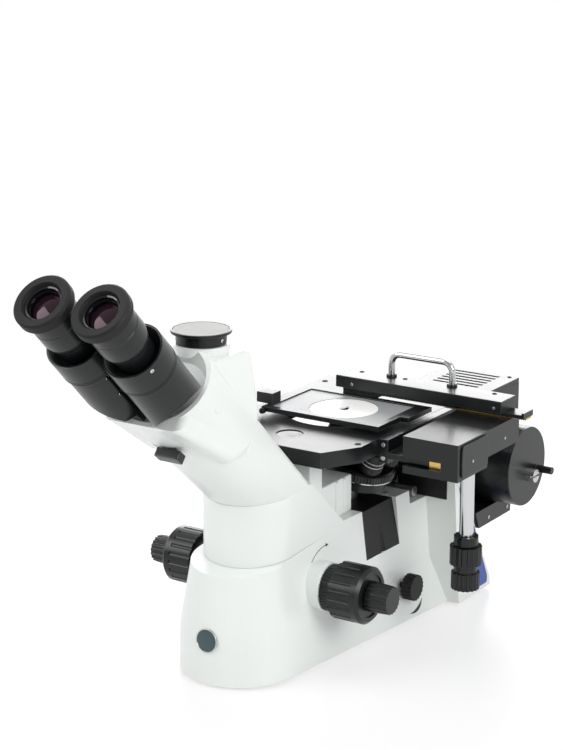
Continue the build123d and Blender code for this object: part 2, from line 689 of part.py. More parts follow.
# Mains inlet: an open socket in the back of the column, on the side away from the lamp's door
with BuildPart() as power_inlet:
    inlet_half, inlet_rise = INLET_W / 2 - GAP / 2, INLET_H / 2 - GAP / 2
    block(INLET_X - inlet_half, INLET_X + inlet_half, COLUMN_BACK_Y - INLET_DEPTH, COLUMN_BACK_Y,
          INLET_Z - inlet_rise, INLET_Z + inlet_rise)
    block(INLET_X - inlet_half - INLET_RIM, INLET_X + inlet_half + INLET_RIM, COLUMN_BACK_Y,
          COLUMN_BACK_Y + INLET_FLANGE_T, INLET_Z - inlet_rise - INLET_RIM, INLET_Z + inlet_rise + INLET_RIM)
    block(INLET_X - inlet_half + INLET_RIM, INLET_X + inlet_half - INLET_RIM, COLUMN_BACK_Y - INLET_DEPTH + INLET_RIM,
          COLUMN_BACK_Y + INLET_FLANGE_T, INLET_Z - inlet_rise + INLET_RIM, INLET_Z + inlet_rise - INLET_RIM,
          Mode.SUBTRACT)
power_inlet.part.label = "power_inlet"
export_step(power_inlet.part, "parts/power_inlet.step")

# Focus guide: the bearing plate of the nosepiece carrier
with BuildPart() as focus_guide:
    block(-GUIDE_HALF, GUIDE_HALF, BAY_FRONT_Y + WALL / 2, BAY_REAR_Y - WALL / 2, BAY_FLOOR_Z, BAY_FLOOR_Z + GUIDE_T)
    rod(upright(0, 0, BAY_FLOOR_Z), CARRIER_R + RUN, GUIDE_T, Mode.SUBTRACT)
focus_guide.part.label = "focus_guide"
export_step(focus_guide.part, "parts/focus_guide.step")

# Focus carrier: hollow column with an arm to the rack under the focus shaft
mount_low_plane = turret_plane.offset(-TURRET_T - GAP - MOUNT_T)
with BuildPart() as focus_carrier:
    rod(upright(0, 0, CARRIER_Z0), CARRIER_R, TURRET_Z - CARRIER_Z0)
    split(bisect_by=mount_low_plane, keep=Keep.BOTTOM)
    block(-ARM_HALF, ARM_HALF, RACK_Y1, 0, ARM_Z0, ARM_Z1)
    block(-RACK_HALF, RACK_HALF, FOCUS_Y + PINION_R + GAP, RACK_Y1, RACK_Z0, RACK_Z1)
    rod(upright(0, 0, CARRIER_Z0), LIGHT_R, TURRET_Z - CARRIER_Z0, Mode.SUBTRACT)
    rod(along_y(0, 0, LAMP_Z), LIGHT_R - RUN, 2 * CARRIER_R, Mode.SUBTRACT)
focus_carrier.part.label = "focus_carrier"
export_step(focus_carrier.part, "parts/focus_carrier.step")

# Nosepiece mount: tilted disc on the carrier, with the stud of the turret
with BuildPart() as nosepiece_mount:
    rod(mount_low_plane, MOUNT_R, MOUNT_T)
    rod(mount_low_plane, STUD_R, MOUNT_T + 0.75 * TURRET_T)
    rod(upright(0, 0, CARRIER_Z0), LIGHT_R, TURRET_Z, Mode.SUBTRACT)
nosepiece_mount.part.label = "nosepiece_mount"
export_step(nosepiece_mount.part, "parts/nosepiece_mount.step")

# Nosepiece turret: five tilted sockets round a blind stud bore
with BuildPart() as nosepiece_turret:
    turret_rim = [(0, -TURRET_T), (TURRET_R - TURRET_BEVEL, -TURRET_T), (TURRET_R, TURRET_BEVEL - TURRET_T),
                  (TURRET_R, -TURRET_BEVEL), (TURRET_R - TURRET_BEVEL, 0), (0, 0)]
    revolve(turned(turret_plane, turret_rim), axis=spin_axis(turret_plane))
    rod(turret_plane.offset(-TURRET_T), STUD_R + RUN, 0.8 * TURRET_T, Mode.SUBTRACT)
    for index in range(len(OBJECTIVES)):
        rod(objective_plane(index).offset(-2 * TURRET_T), OBJECTIVE_THREAD_R + RUN, 4 * TURRET_T, Mode.SUBTRACT)
nosepiece_turret.part.label = "nosepiece_turret"
export_step(nosepiece_turret.part, "parts/nosepiece_turret.step")

# Objectives: five turned barrels of different lengths
with BuildPart() as objectives:
    for index, length in enumerate(OBJECTIVES):
        foot = objective_plane(index)
        outline = [(0, -SHOULDER_H), (OBJECTIVE_THREAD_R, -SHOULDER_H), (OBJECTIVE_THREAD_R, SHOULDER_H),
                   (OBJECTIVE_R, SHOULDER_H), (OBJECTIVE_R, 0.6 * length), (0.7 * OBJECTIVE_R, 0.85 * length),
                   (0.5 * OBJECTIVE_R, 0.85 * length), (0.5 * OBJECTIVE_R, length), (0, length)]
        revolve(turned(foot, outline), axis=spin_axis(foot))
objectives.part.label = "objectives"
export_step(objectives.part, "parts/objectives.step")

# Tension ring: turns on the focus shaft beside the right boss
with BuildPart() as tension_ring:
    extrude(fluted_disc(along_x(BOSS_END_X + GAP, *focus_axis), TENSION_R, TENSION_FLUTES), amount=TENSION_L)
    rod(along_x(BOSS_END_X + GAP, *focus_axis), COARSE_SHAFT_R + RUN, TENSION_L, Mode.SUBTRACT)
tension_ring.part.label = "tension_ring"
export_step(tension_ring.part, "parts/tension_ring.step")

# Coarse knob, right: fluted, pinned to the hollow shaft
with BuildPart() as coarse_knob_right:
    coarse_knob(1)
    rod(along_x(coarse_x0, *focus_axis), COARSE_SHAFT_R + RUN, COARSE_END_X - coarse_x0, Mode.SUBTRACT)
coarse_knob_right.part.label = "coarse_knob_right"
export_step(coarse_knob_right.part, "parts/coarse_knob_right.step")

# Coarse knob, left: one piece with the hollow shaft and its pinion
with BuildPart() as coarse_knob_left:
    coarse_knob(-1)
    rod(along_x(-coarse_x0, *focus_axis), TENSION_R, TENSION_L + 2 * GAP)
    rod(along_x(-COARSE_END_X, *focus_axis), COARSE_SHAFT_R, 2 * COARSE_END_X)
    rod(along_x(-RACK_HALF, *focus_axis), PINION_R, 2 * RACK_HALF)
    rod(along_x(-COARSE_END_X, *focus_axis), FINE_SHAFT_R + RUN, 2 * COARSE_END_X, Mode.SUBTRACT)
coarse_knob_left.part.label = "coarse_knob_left"
export_step(coarse_knob_left.part, "parts/coarse_knob_left.step")

# Fine knob, right: fluted, on the end of the inner shaft
with BuildPart() as fine_knob_right:
    fine_knob(1)
    rod(along_x(COARSE_END_X + GAP, *focus_axis), FINE_SHAFT_R + RUN, 0.7 * fine_l, Mode.SUBTRACT)
fine_knob_right.part.label = "fine_knob_right"
export_step(fine_knob_right.part, "parts/fine_knob_right.step")

# Fine knob, left: one piece with the inner shaft
with BuildPart() as fine_knob_left:
    fine_knob(-1)
    rod(along_x(-COARSE_END_X - 2 * GAP, *focus_axis), FINE_SHAFT_R, 2 * COARSE_END_X + 2 * GAP + 0.7 * fine_l)
fine_knob_left.part.label = "fine_knob_left"
export_step(fine_knob_left.part, "parts/fine_knob_left.step")

# Intensity knob: fluted disc and shaft in the right flank
intensity_x0 = stand_half(INTENSITY_Y + INTENSITY_R, INTENSITY_Z - INTENSITY_R) + GAP
with BuildPart() as intensity_knob:
    extrude(fluted_disc(along_x(intensity_x0, INTENSITY_Y, INTENSITY_Z), INTENSITY_R, KNOB_FLUTES), amount=INTENSITY_T)
    rod(along_x(REAR_HALF_DECK, INTENSITY_Y, INTENSITY_Z), INTENSITY_SHAFT_R, intensity_x0 + INTENSITY_T - REAR_HALF_DECK)
intensity_knob.part.label = "intensity_knob"
export_step(intensity_knob.part, "parts/intensity_knob.step")

# Head housing: grows from the neck to a round rim with a conical scoop for the binocular
seam_rear = (NECK_BACK - NECK_Y - SEAM_Z) / (cos(radians(NECK_TILT)) + sin(radians(NECK_TILT)))
seam_half = NECK_R + NECK_FLARE * seam_rear * cos(radians(NECK_TILT))


def head_foot():
    """Outline of the head on the seam: round nose, straight flanks, rounded rear corners."""
    flank_y = seam_rear - NECK_CORNER
    back_x = seam_half - NECK_CORNER
    with BuildLine(seam_plane, mode=Mode.PRIVATE) as outline:
        CenterArc((0, 0), NECK_R, 180, 180)
        Line((NECK_R, 0), (seam_half, flank_y))
        CenterArc((back_x, flank_y), NECK_CORNER, 0, 90)
        Line((back_x, seam_rear), (-back_x, seam_rear))
        CenterArc((-back_x, flank_y), NECK_CORNER, 90, 90)
        Line((-seam_half, flank_y), (-NECK_R, 0))
    return Face(Wire(outline.edges()))


def head_rim():
    """Round rim of the head, cut at the angles that meet the corners of its foot."""
    stops = (0, RIM_STEP, RIM_CORNER, 180 - RIM_CORNER, 180 - RIM_STEP, 180)
    arcs = [Edge.make_circle(RIM_R, at_s(RIM_S), start, stop) for start, stop in zip(stops, stops[1:])]
    return Face(Wire([Edge.make_ellipse(RIM_R, RIM_DROP, at_s(RIM_S), 180, 360), *arcs]))


def scoop_section(distance, width, drop):
    """Section of the scoop: an oval that is wider below the hinge axis than it is deep."""
    with BuildSketch(at_s(distance), mode=Mode.PRIVATE) as section:
        Ellipse(width, drop)
    return section.sketch


def tower():
    """Rounded block of the photo port, with leaning flanks."""
    rim_bottom = at_s(RIM_S).from_local_coords(Vector(0, -RIM_DROP, 0))
    rim_top_y = rim_bottom.Y + TOWER_TOP_Z - rim_bottom.Z
    bend_mid = (TOWER_REAR_Y - 0.27 * (TOWER_REAR_Y - TOWER_LOW[0]), TOWER_LOW[1] + 0.3 * (TOWER_BEND_Z - TOWER_LOW[1]))
    with BuildPart(mode=Mode.PRIVATE) as shape:
        with BuildSketch(Plane.YZ):
            with BuildLine():
                ThreePointArc((TOWER_REAR_Y, TOWER_BEND_Z), bend_mid, TOWER_LOW)
                Polyline(TOWER_LOW, (rim_bottom.Y, rim_bottom.Z), (rim_top_y, TOWER_TOP_Z), (TOWER_REAR_Y, TOWER_TOP_Z),
                         (TOWER_REAR_Y, TOWER_BEND_Z))
            make_face()
        extrude(amount=2 * TOWER_HALF, both=True)
        for side in (-1, 1):
            flank_dir = (side * cos(radians(TOWER_LEAN)), 0, sin(radians(TOWER_LEAN)))
            split(bisect_by=Plane((side * TOWER_HALF, 0, TOWER_BEND_Z), x_dir=(0, 1, 0), z_dir=flank_dir),
                  keep=Keep.BOTTOM)
        flanks = shape.faces().sort_by(Axis.X)
        fillet(flanks[0].edges() + flanks[-1].edges(), TOWER_ROUND)
    return shape.part


seam_front = seam_plane.from_local_coords(Vector(0, -NECK_R, 0))
rim_low = at_s(RIM_S).from_local_coords(Vector(0, -RIM_DROP, 0))
lever_plane = Plane(seam_front + (rim_low - seam_front) * LEVER_SHARE, x_dir=(1, 0, 0),
                    z_dir=Vector(1, 0, 0).cross(rim_low - seam_front))
with BuildPart() as head_housing:
    loft([head_foot(), head_rim()], ruled=True)
    chord = Plane(at_s(RIM_S).from_local_coords(Vector(0, RIM_CHORD_U, 0)), x_dir=(1, 0, 0), z_dir=arm_plane.y_dir)
    split(bisect_by=chord, keep=Keep.BOTTOM)
    add(tower())
    rod(upright(0, PORT_Y, TOWER_TOP_Z), COLLAR_R, COLLAR_TOP_Z - TOWER_TOP_Z)
    mouth_x, mouth_u = RIM_R - RIM_WALL, RIM_DROP - RIM_WALL
    loft([scoop_section(SCOOP_END_S, SCOOP_END_R, SCOOP_END_R),
          scoop_section(2 * RIM_S - SCOOP_END_S, 2 * mouth_x - SCOOP_END_R, 2 * mouth_u - SCOOP_END_R)],
         ruled=True, mode=Mode.SUBTRACT)
    with BuildSketch(lever_plane.offset(-STEM_DEPTH - GAP)):
        with Locations((LEVER_X - LEVER_TRAVEL / 2, 0)):
            Rectangle(STEM_L + LEVER_TRAVEL + 2 * GAP, STEM_W + 2 * GAP)
    extrude(amount=2 * STEM_DEPTH, mode=Mode.SUBTRACT)
head_housing.part.label = "head_housing"
export_step(head_housing.part, "parts/head_housing.step")

# Photo port adapter: a turned collar with a wide flange
port_plane = upright(0, PORT_Y, COLLAR_TOP_Z)
with BuildPart() as port_adapter:
    rod(port_plane, ADAPTER_R, ADAPTER_H)
    rod(port_plane.offset(ADAPTER_H), FLANGE_R, FLANGE_H)
    rod(port_plane, PORT_BORE_R, ADAPTER_H + FLANGE_H, Mode.SUBTRACT)
    rod(port_plane.offset(ADAPTER_H + FLANGE_H - CAP_T), CAP_R + GAP / 2, CAP_T, Mode.SUBTRACT)
port_adapter.part.label = "port_adapter"
export_step(port_adapter.part, "parts/port_adapter.step")

# Port cap: a pale disc let into the flange
with BuildPart() as port_cap:
    rod(port_plane.offset(ADAPTER_H + FLANGE_H - CAP_T), CAP_R, CAP_T)
port_cap.part.label = "port_cap"
export_step(port_cap.part, "parts/port_cap.step")

# Light path lever: slides across the underside of the head
with BuildPart() as path_lever:
    with BuildSketch(lever_plane.offset(1)):
        with Locations((LEVER_X, 0)):
            RectangleRounded(LEVER_L, LEVER_W, LEVER_W / 6)
    extrude(amount=LEVER_H)
    with BuildSketch(lever_plane.offset(1)):
        with Locations((LEVER_X, 0)):
            Rectangle(STEM_L, STEM_W)
    extrude(amount=-STEM_DEPTH - 1)
path_lever.part.label = "path_lever"
export_step(path_lever.part, "parts/path_lever.step")

# Hinge hub: the pin both prism houses turn on
with BuildPart() as bino_hub:
    rod(at_s(SCOOP_END_S), HUB_FLANGE_R, SCOOP_END_S - HOUSE_END_S - GAP)
    rod(at_s(SCOOP_END_S), HUB_R, SCOOP_END_S - LUG_TOP_S)
bino_hub.part.label = "bino_hub"
export_step(bino_hub.part, "parts/bino_hub.step")

# Right prism house: mitred tube with the upper hinge lug
with BuildPart() as prism_house_right:
    rod(eye_at(1, HOUSE_END_S), HOUSE_R, HOUSE_END_S - HOUSE_TOP_S)
    split(bisect_by=Plane.YZ.offset(HOUSE_FLAT_X), keep=Keep.TOP)
    rod(at_s(HOUSE_END_S), LUG_R + 1, LUG_T + GAP, Mode.SUBTRACT)
    extrude(lug_section(1, LUG_TOP_S + LUG_T), amount=LUG_T)
    split(bisect_by=mitre_plane(1), keep=Keep.BOTTOM)
    revolve(house_trim(), axis=spin_axis(arm_plane), mode=Mode.SUBTRACT)
    rod(at_s(HOUSE_END_S), HUB_R + RUN, HOUSE_END_S - LUG_TOP_S, Mode.SUBTRACT)
    rod(eye_at(1, LUG_TOP_S - LUG_T), HOUSE_BORE_R, LUG_TOP_S - LUG_T - HOUSE_TOP_S, Mode.SUBTRACT)
prism_house_right.part.label = "prism_house_right"
export_step(prism_house_right.part, "parts/prism_house_right.step")

# Left prism house: mitred tube with the lower hinge lug
with BuildPart() as prism_house_left:
    rod(eye_at(-1, HOUSE_END_S), HOUSE_R, HOUSE_END_S - HOUSE_TOP_S)
    split(bisect_by=Plane.YZ.offset(-HOUSE_FLAT_X), keep=Keep.BOTTOM)
    rod(at_s(LUG_TOP_S + LUG_T + GAP), LUG_R + 1, LUG_T + 2 * GAP, Mode.SUBTRACT)
    extrude(lug_section(-1, HOUSE_END_S), amount=LUG_T)
    split(bisect_by=mitre_plane(-1), keep=Keep.BOTTOM)
    revolve(house_trim(), axis=spin_axis(arm_plane), mode=Mode.SUBTRACT)
    rod(at_s(HOUSE_END_S), HUB_R + RUN, HOUSE_END_S - LUG_TOP_S, Mode.SUBTRACT)
    rod(eye_at(-1, LUG_TOP_S - LUG_T), HOUSE_BORE_R, LUG_TOP_S - LUG_T - HOUSE_TOP_S, Mode.SUBTRACT)
prism_house_left.part.label = "prism_house_left"
export_step(prism_house_left.part, "parts/prism_house_left.step")

ring_l = HOUSE_TOP_S - RING_TOP_S
ring_outline = [(EYE_NECK_R + RUN, 0), (RING_R, 0), (RING_R, ring_l), (RING_R - RING_LIP, ring_l),
                (EYE_NECK_R + RUN, ring_l - FUNNEL_L)]
eyepiece_l = EYEPIECE_END_S - EYECUP_L
neck_end = EYEPIECE_END_S - (HOUSE_TOP_S + LUG_T)
eyepiece_outline = [(0, neck_end), (EYE_NECK_R, neck_end), (EYE_NECK_R, 0), (EYEPIECE_R - 2, 0),
                    (EYEPIECE_R, 0.2 * eyepiece_l), (EYEPIECE_R, 0.6 * eyepiece_l),
                    (EYEPIECE_R - GROOVE, 0.6 * eyepiece_l + GROOVE), (EYEPIECE_R, 0.6 * eyepiece_l + 2 * GROOVE),
                    (EYEPIECE_R, eyepiece_l), (EYE_OPENING_R, eyepiece_l),
                    (EYE_OPENING_R, eyepiece_l - LENS_SEAT), (0, eyepiece_l - LENS_SEAT)]
eyecup_outline = [(EYE_OPENING_R, 0), (EYECUP_R, 0), (EYECUP_R, EYECUP_L - 2), (EYECUP_R - 2, EYECUP_L),
                  (EYE_OPENING_R + 2, EYECUP_L), (EYE_OPENING_R, EYECUP_L / 2)]
lens_outline = [(0, 0), (EYE_OPENING_R - GAP, 0), (EYE_OPENING_R - GAP, 0.6 * LENS_SEAT),
                (0.6 * EYE_OPENING_R, 0.9 * LENS_SEAT), (0, LENS_SEAT)]

# Right tube ring: a funnel ring clamped on the prism house
with BuildPart() as tube_ring_right:
    revolve(turned(eye_at(1, HOUSE_TOP_S), ring_outline), axis=spin_axis(eye_at(1, HOUSE_TOP_S)))
tube_ring_right.part.label = "tube_ring_right"
export_step(tube_ring_right.part, "parts/tube_ring_right.step")

# Left tube ring: the dioptre ring, free to turn
with BuildPart() as tube_ring_left:
    revolve(turned(eye_at(-1, HOUSE_TOP_S), ring_outline), axis=spin_axis(eye_at(-1, HOUSE_TOP_S)))
tube_ring_left.part.label = "tube_ring_left"
export_step(tube_ring_left.part, "parts/tube_ring_left.step")

# Right eyepiece: barrel, neck in the tube, seat for the lens
with BuildPart() as eyepiece_right:
    revolve(turned(eye_at(1, EYEPIECE_END_S), eyepiece_outline), axis=spin_axis(eye_at(1, EYEPIECE_END_S)))
eyepiece_right.part.label = "eyepiece_right"
export_step(eyepiece_right.part, "parts/eyepiece_right.step")

# Left eyepiece
with BuildPart() as eyepiece_left:
    revolve(turned(eye_at(-1, EYEPIECE_END_S), eyepiece_outline), axis=spin_axis(eye_at(-1, EYEPIECE_END_S)))
eyepiece_left.part.label = "eyepiece_left"
export_step(eyepiece_left.part, "parts/eyepiece_left.step")

# Right eyecup: a thick rubber annulus
with BuildPart() as eyecup_right:
    revolve(turned(eye_at(1, EYECUP_L), eyecup_outline), axis=spin_axis(eye_at(1, EYECUP_L)))
eyecup_right.part.label = "eyecup_right"
export_step(eyecup_right.part, "parts/eyecup_right.step")

# Left eyecup
with BuildPart() as eyecup_left:
    revolve(turned(eye_at(-1, EYECUP_L), eyecup_outline), axis=spin_axis(eye_at(-1, EYECUP_L)))
eyecup_left.part.label = "eyecup_left"
export_step(eyecup_left.part, "parts/eyecup_left.step")

# Right eye lens: domed, in its seat under the eyecup
with BuildPart() as eye_lens_right:
    lens_plane = eye_at(1, EYECUP_L + LENS_SEAT)
    revolve(turned(lens_plane, lens_outline), axis=spin_axis(lens_plane))
eye_lens_right.part.label = "eye_lens_right"
export_step(eye_lens_right.part, "parts/eye_lens_right.step")

# Left eye lens
with BuildPart() as eye_lens_left:
    lens_plane = eye_at(-1, EYECUP_L + LENS_SEAT)
    revolve(turned(lens_plane, lens_outline), axis=spin_axis(lens_plane))
eye_lens_left.part.label = "eye_lens_left"
export_step(eye_lens_left.part, "parts/eye_lens_left.step")

# Stage plate: thick plate with a round opening, a front hole and relief for the turret
stage_top_z = STAGE_BOTTOM_Z + STAGE_T
with BuildPart() as stage_plate:
    chamfer_x, chamfer_y = STAGE_HALF - STAGE_CHAMFER_X, STAGE_FRONT_Y + STAGE_CHAMFER_Y
    with BuildSketch(Plane.XY.offset(STAGE_BOTTOM_Z)):
        with BuildLine():
            Polyline((-chamfer_x, STAGE_FRONT_Y), (chamfer_x, STAGE_FRONT_Y), (STAGE_HALF, chamfer_y),
                     (STAGE_HALF, STAGE_REAR_Y), (-STAGE_HALF, STAGE_REAR_Y), (-STAGE_HALF, chamfer_y), close=True)
        make_face()
        Circle(STAGE_OPENING_R, mode=Mode.SUBTRACT)
        with Locations((0, STAGE_HOLE_Y)):
            Circle(STAGE_HOLE_R, mode=Mode.SUBTRACT)
    extrude(amount=STAGE_T)
    rod(turret_plane, RELIEF_R, max(OBJECTIVES) + 2 * FOCUS_UP, Mode.SUBTRACT)
stage_plate.part.label = "stage_plate"
export_step(stage_plate.part, "parts/stage_plate.step")

# Side rail: bracket on the stage's flank with the tongue of the Y guide
with BuildPart() as side_rail:
    block(STAGE_HALF, BRACKET_X1, RAIL_FRONT_Y, RAIL_REAR_Y, BRACKET_Z0, stage_top_z)
    block(BRACKET_X1, TONGUE_X1, RAIL_FRONT_Y, RAIL_REAR_Y, TONGUE_Z0, TONGUE_Z0 + TONGUE_T)
side_rail.part.label = "side_rail"
export_step(side_rail.part, "parts/side_rail.step")

# Y rack: brass strip on the edge of the tongue
rack_z0 = TONGUE_Z0 + TONGUE_T / 2 - Y_RACK_H / 2
rack_x1 = TONGUE_X1 + Y_RACK_W
with BuildPart() as y_rack:
    block(TONGUE_X1, rack_x1, RAIL_FRONT_Y, RAIL_REAR_Y, rack_z0, rack_z0 + Y_RACK_H)
y_rack.part.label = "y_rack"
export_step(y_rack.part, "parts/y_rack.step")

# Y carriage: rides the tongue, holds the drive and the block under the X rail
pinion_r = DRIVE_X - rack_x1 - GAP
guide_z1 = BAR_Z0 - X_RAIL_T - X_RACK_T
with BuildPart() as y_carriage:
    block(CARRIAGE_X0, CARRIAGE_X1, CARRIAGE_FRONT_Y, CARRIAGE_REAR_Y, CARRIAGE_BOTTOM_Z, guide_z1)
    block(rack_x1, CARRIAGE_X1, CARRIAGE_STEP_Y, CARRIAGE_REAR_Y, CARRIAGE_BOTTOM_Z, CARRIAGE_REAR_Z, Mode.SUBTRACT)
    block(CARRIAGE_X0, rack_x1 + GAP, CARRIAGE_FRONT_Y, CARRIAGE_REAR_Y, rack_z0 - GAP, rack_z0 + Y_RACK_H + GAP,
          Mode.SUBTRACT)
    rod(upright(DRIVE_X, DRIVE_Y, rack_z0 - GAP), pinion_r + GAP, Y_RACK_H + 2 * GAP, Mode.SUBTRACT)
    rod(upright(DRIVE_X, DRIVE_Y, CARRIAGE_BOTTOM_Z), DRIVE_SLEEVE_R + RUN, rack_z0 - CARRIAGE_BOTTOM_Z, Mode.SUBTRACT)
y_carriage.part.label = "y_carriage"
export_step(y_carriage.part, "parts/y_carriage.step")

# Carriage cover: a thin plate on the outer side
with BuildPart() as carriage_cover:
    with BuildSketch(Plane.YZ.offset(CARRIAGE_X1)):
        with Locations(((COVER_FRONT_Y + COVER_REAR_Y) / 2, (CARRIAGE_BOTTOM_Z + guide_z1) / 2)):
            RectangleRounded(COVER_REAR_Y - COVER_FRONT_Y, guide_z1 - CARRIAGE_BOTTOM_Z - COVER_EDGE, COVER_EDGE)
    extrude(amount=COVER_T)
carriage_cover.part.label = "carriage_cover"
export_step(carriage_cover.part, "parts/carriage_cover.step")

# Drive tube: hangs from the carriage round the two drive shafts
with BuildPart() as drive_tube:
    rod(upright(DRIVE_X, DRIVE_Y, COLLAR_Z0 + COLLAR_H), DRIVE_TUBE_R, CARRIAGE_BOTTOM_Z - COLLAR_Z0 - COLLAR_H)
    rod(upright(DRIVE_X, DRIVE_Y, COLLAR_Z0), DRIVE_SLEEVE_R + RUN, CARRIAGE_BOTTOM_Z - COLLAR_Z0, Mode.SUBTRACT)
drive_tube.part.label = "drive_tube"
export_step(drive_tube.part, "parts/drive_tube.step")

# Drive collar: clamped on the foot of the tube
with BuildPart() as drive_collar:
    rod(upright(DRIVE_X, DRIVE_Y, COLLAR_Z0), DRIVE_COLLAR_R, COLLAR_H)
    rod(upright(DRIVE_X, DRIVE_Y, COLLAR_Z0), DRIVE_SLEEVE_R + RUN, COLLAR_H, Mode.SUBTRACT)
    for x, y in ((DRIVE_COLLAR_R, COLLAR_SLOT / 2), (COLLAR_SLOT / 2, DRIVE_COLLAR_R)):
        block(DRIVE_X - x, DRIVE_X + x, DRIVE_Y - y, DRIVE_Y + y, COLLAR_Z0 + COLLAR_H - COLLAR_SLOT,
              COLLAR_Z0 + COLLAR_H, Mode.SUBTRACT)
drive_collar.part.label = "drive_collar"
export_step(drive_collar.part, "parts/drive_collar.step")

# Y knob: upper knob with its sleeve and the pinion on the Y rack
y_knob_z0 = COLLAR_Z0 - KNOB_STEP - Y_KNOB_H
with BuildPart() as y_knob:
    extrude(fluted_disc(upright(DRIVE_X, DRIVE_Y, y_knob_z0), Y_KNOB_R, KNOB_FLUTES), amount=Y_KNOB_H)
    rod(upright(DRIVE_X, DRIVE_Y, y_knob_z0), DRIVE_SLEEVE_R, rack_z0 + Y_RACK_H - y_knob_z0)
    rod(upright(DRIVE_X, DRIVE_Y, rack_z0), pinion_r, Y_RACK_H)
    rod(upright(DRIVE_X, DRIVE_Y, y_knob_z0), DRIVE_SHAFT_R + RUN, rack_z0 + Y_RACK_H - y_knob_z0, Mode.SUBTRACT)
y_knob.part.label = "y_knob"
export_step(y_knob.part, "parts/y_knob.step")

# X knob: lower knob with the inner shaft
x_knob_z0 = y_knob_z0 - KNOB_STEP - X_NECK_H - X_KNOB_H
with BuildPart() as x_knob:
    extrude(fluted_disc(upright(DRIVE_X, DRIVE_Y, x_knob_z0), X_KNOB_R, KNOB_FLUTES), amount=X_KNOB_H)
    rod(upright(DRIVE_X, DRIVE_Y, x_knob_z0 + X_KNOB_H), X_NECK_R, X_NECK_H)
    rod(upright(DRIVE_X, DRIVE_Y, x_knob_z0), DRIVE_SHAFT_R, rack_z0 + Y_RACK_H - x_knob_z0)
x_knob.part.label = "x_knob"
export_step(x_knob.part, "parts/x_knob.step")

# X rail: the flat bar under the cross slide
x_rail_z0 = BAR_Z0 - X_RAIL_T
with BuildPart() as x_rail:
    block(X_RAIL_X0, X_RAIL_X1, X_RAIL_Y0, X_RAIL_Y1, x_rail_z0, BAR_Z0)
    block(X_RAIL_X1 - X_LIP_T, X_RAIL_X1, X_RAIL_Y0, X_RAIL_Y1, x_rail_z0, x_rail_z0 + X_LIP_H)
x_rail.part.label = "x_rail"
export_step(x_rail.part, "parts/x_rail.step")

# X rack: brass strip under the X rail, runs on the carriage block
with BuildPart() as x_rack:
    block(X_RAIL_X0, X_RAIL_X1, X_RAIL_Y0 + X_RAIL_T, X_RAIL_Y1 - X_RAIL_T, guide_z1, x_rail_z0)
x_rack.part.label = "x_rack"
export_step(x_rack.part, "parts/x_rack.step")

# X bar: the wide bar over the rail
with BuildPart() as x_bar:
    block(BAR_X0, BAR_X1, BAR_Y0, BAR_Y1, BAR_Z0, BAR_Z0 + BAR_T)
x_bar.part.label = "x_bar"
export_step(x_bar.part, "parts/x_bar.step")

# Bar handle: a bent rod
with BuildPart() as bar_handle:
    handle_z0 = BAR_Z0 + BAR_T
    with BuildLine() as handle_path:
        FilletPolyline((HANDLE_X0, HANDLE_Y, handle_z0), (HANDLE_X0, HANDLE_Y, handle_z0 + HANDLE_H),
                       (HANDLE_X1, HANDLE_Y, handle_z0 + HANDLE_H), (HANDLE_X1, HANDLE_Y, handle_z0),
                       radius=HANDLE_BEND)
    with BuildSketch(upright(HANDLE_X0, HANDLE_Y, handle_z0)):
        Circle(HANDLE_R)
    sweep()
bar_handle.part.label = "bar_handle"
export_step(bar_handle.part, "parts/bar_handle.step")

# Specimen holder: a frame with a shallow pocket and a seat for the insert
holder_z0 = HOLDER_TOP_Z - HOLDER_T
insert_z0 = HOLDER_TOP_Z - HOLDER_POCKET - INSERT_T
with BuildPart() as specimen_holder:
    block(HOLDER_X0, HOLDER_X1, HOLDER_Y0, HOLDER_Y1, holder_z0, HOLDER_TOP_Z)
    block(HOLDER_X1, HOLDER_TAB_X1, HOLDER_TAB_Y0, HOLDER_Y1, holder_z0, HOLDER_TOP_Z)
    block(RISER_X0, RISER_X1, HOLDER_Y1, X_RAIL_Y1, holder_z0, HOLDER_TOP_Z)
    block(RISER_X0, RISER_X1, X_RAIL_Y0, X_RAIL_Y1, HOLDER_TOP_Z, BAR_Z0)
    block(HOLDER_X0 + HOLDER_FRAME, HOLDER_X1 - HOLDER_FRAME, HOLDER_Y0 + HOLDER_FRAME, HOLDER_Y1 - HOLDER_FRAME,
          HOLDER_TOP_Z - HOLDER_POCKET, HOLDER_TOP_Z, Mode.SUBTRACT)
    rod(upright(INSERT_X, INSERT_Y, insert_z0), INSERT_R + GAP / 2, HOLDER_T, Mode.SUBTRACT)
    rod(upright(INSERT_X, INSERT_Y, holder_z0), INSERT_R - INSERT_LEDGE, HOLDER_T, Mode.SUBTRACT)
specimen_holder.part.label = "specimen_holder"
export_step(specimen_holder.part, "parts/specimen_holder.step")

# Insert disc: drops into the seat, with a teardrop hole
with BuildPart() as insert_disc:
    with BuildSketch(upright(INSERT_X, INSERT_Y, insert_z0)):
        Circle(INSERT_R)
        Circle(INSERT_HOLE_R, mode=Mode.SUBTRACT)
        with Locations((0, INSERT_HOLE_R)):
            Rectangle(INSERT_HOLE_R, 2 * INSERT_HOLE_R, mode=Mode.SUBTRACT)
    extrude(amount=INSERT_T)
insert_disc.part.label = "insert_disc"
export_step(insert_disc.part, "parts/insert_disc.step")

# Holder clamp: the small block on the rear left corner of the holder
with BuildPart() as holder_clamp:
    block(CLAMP_X0, CLAMP_X1, CLAMP_Y0, CLAMP_Y1, HOLDER_TOP_Z, HOLDER_TOP_Z + CLAMP_H)
holder_clamp.part.label = "holder_clamp"
export_step(holder_clamp.part, "parts/holder_clamp.step")

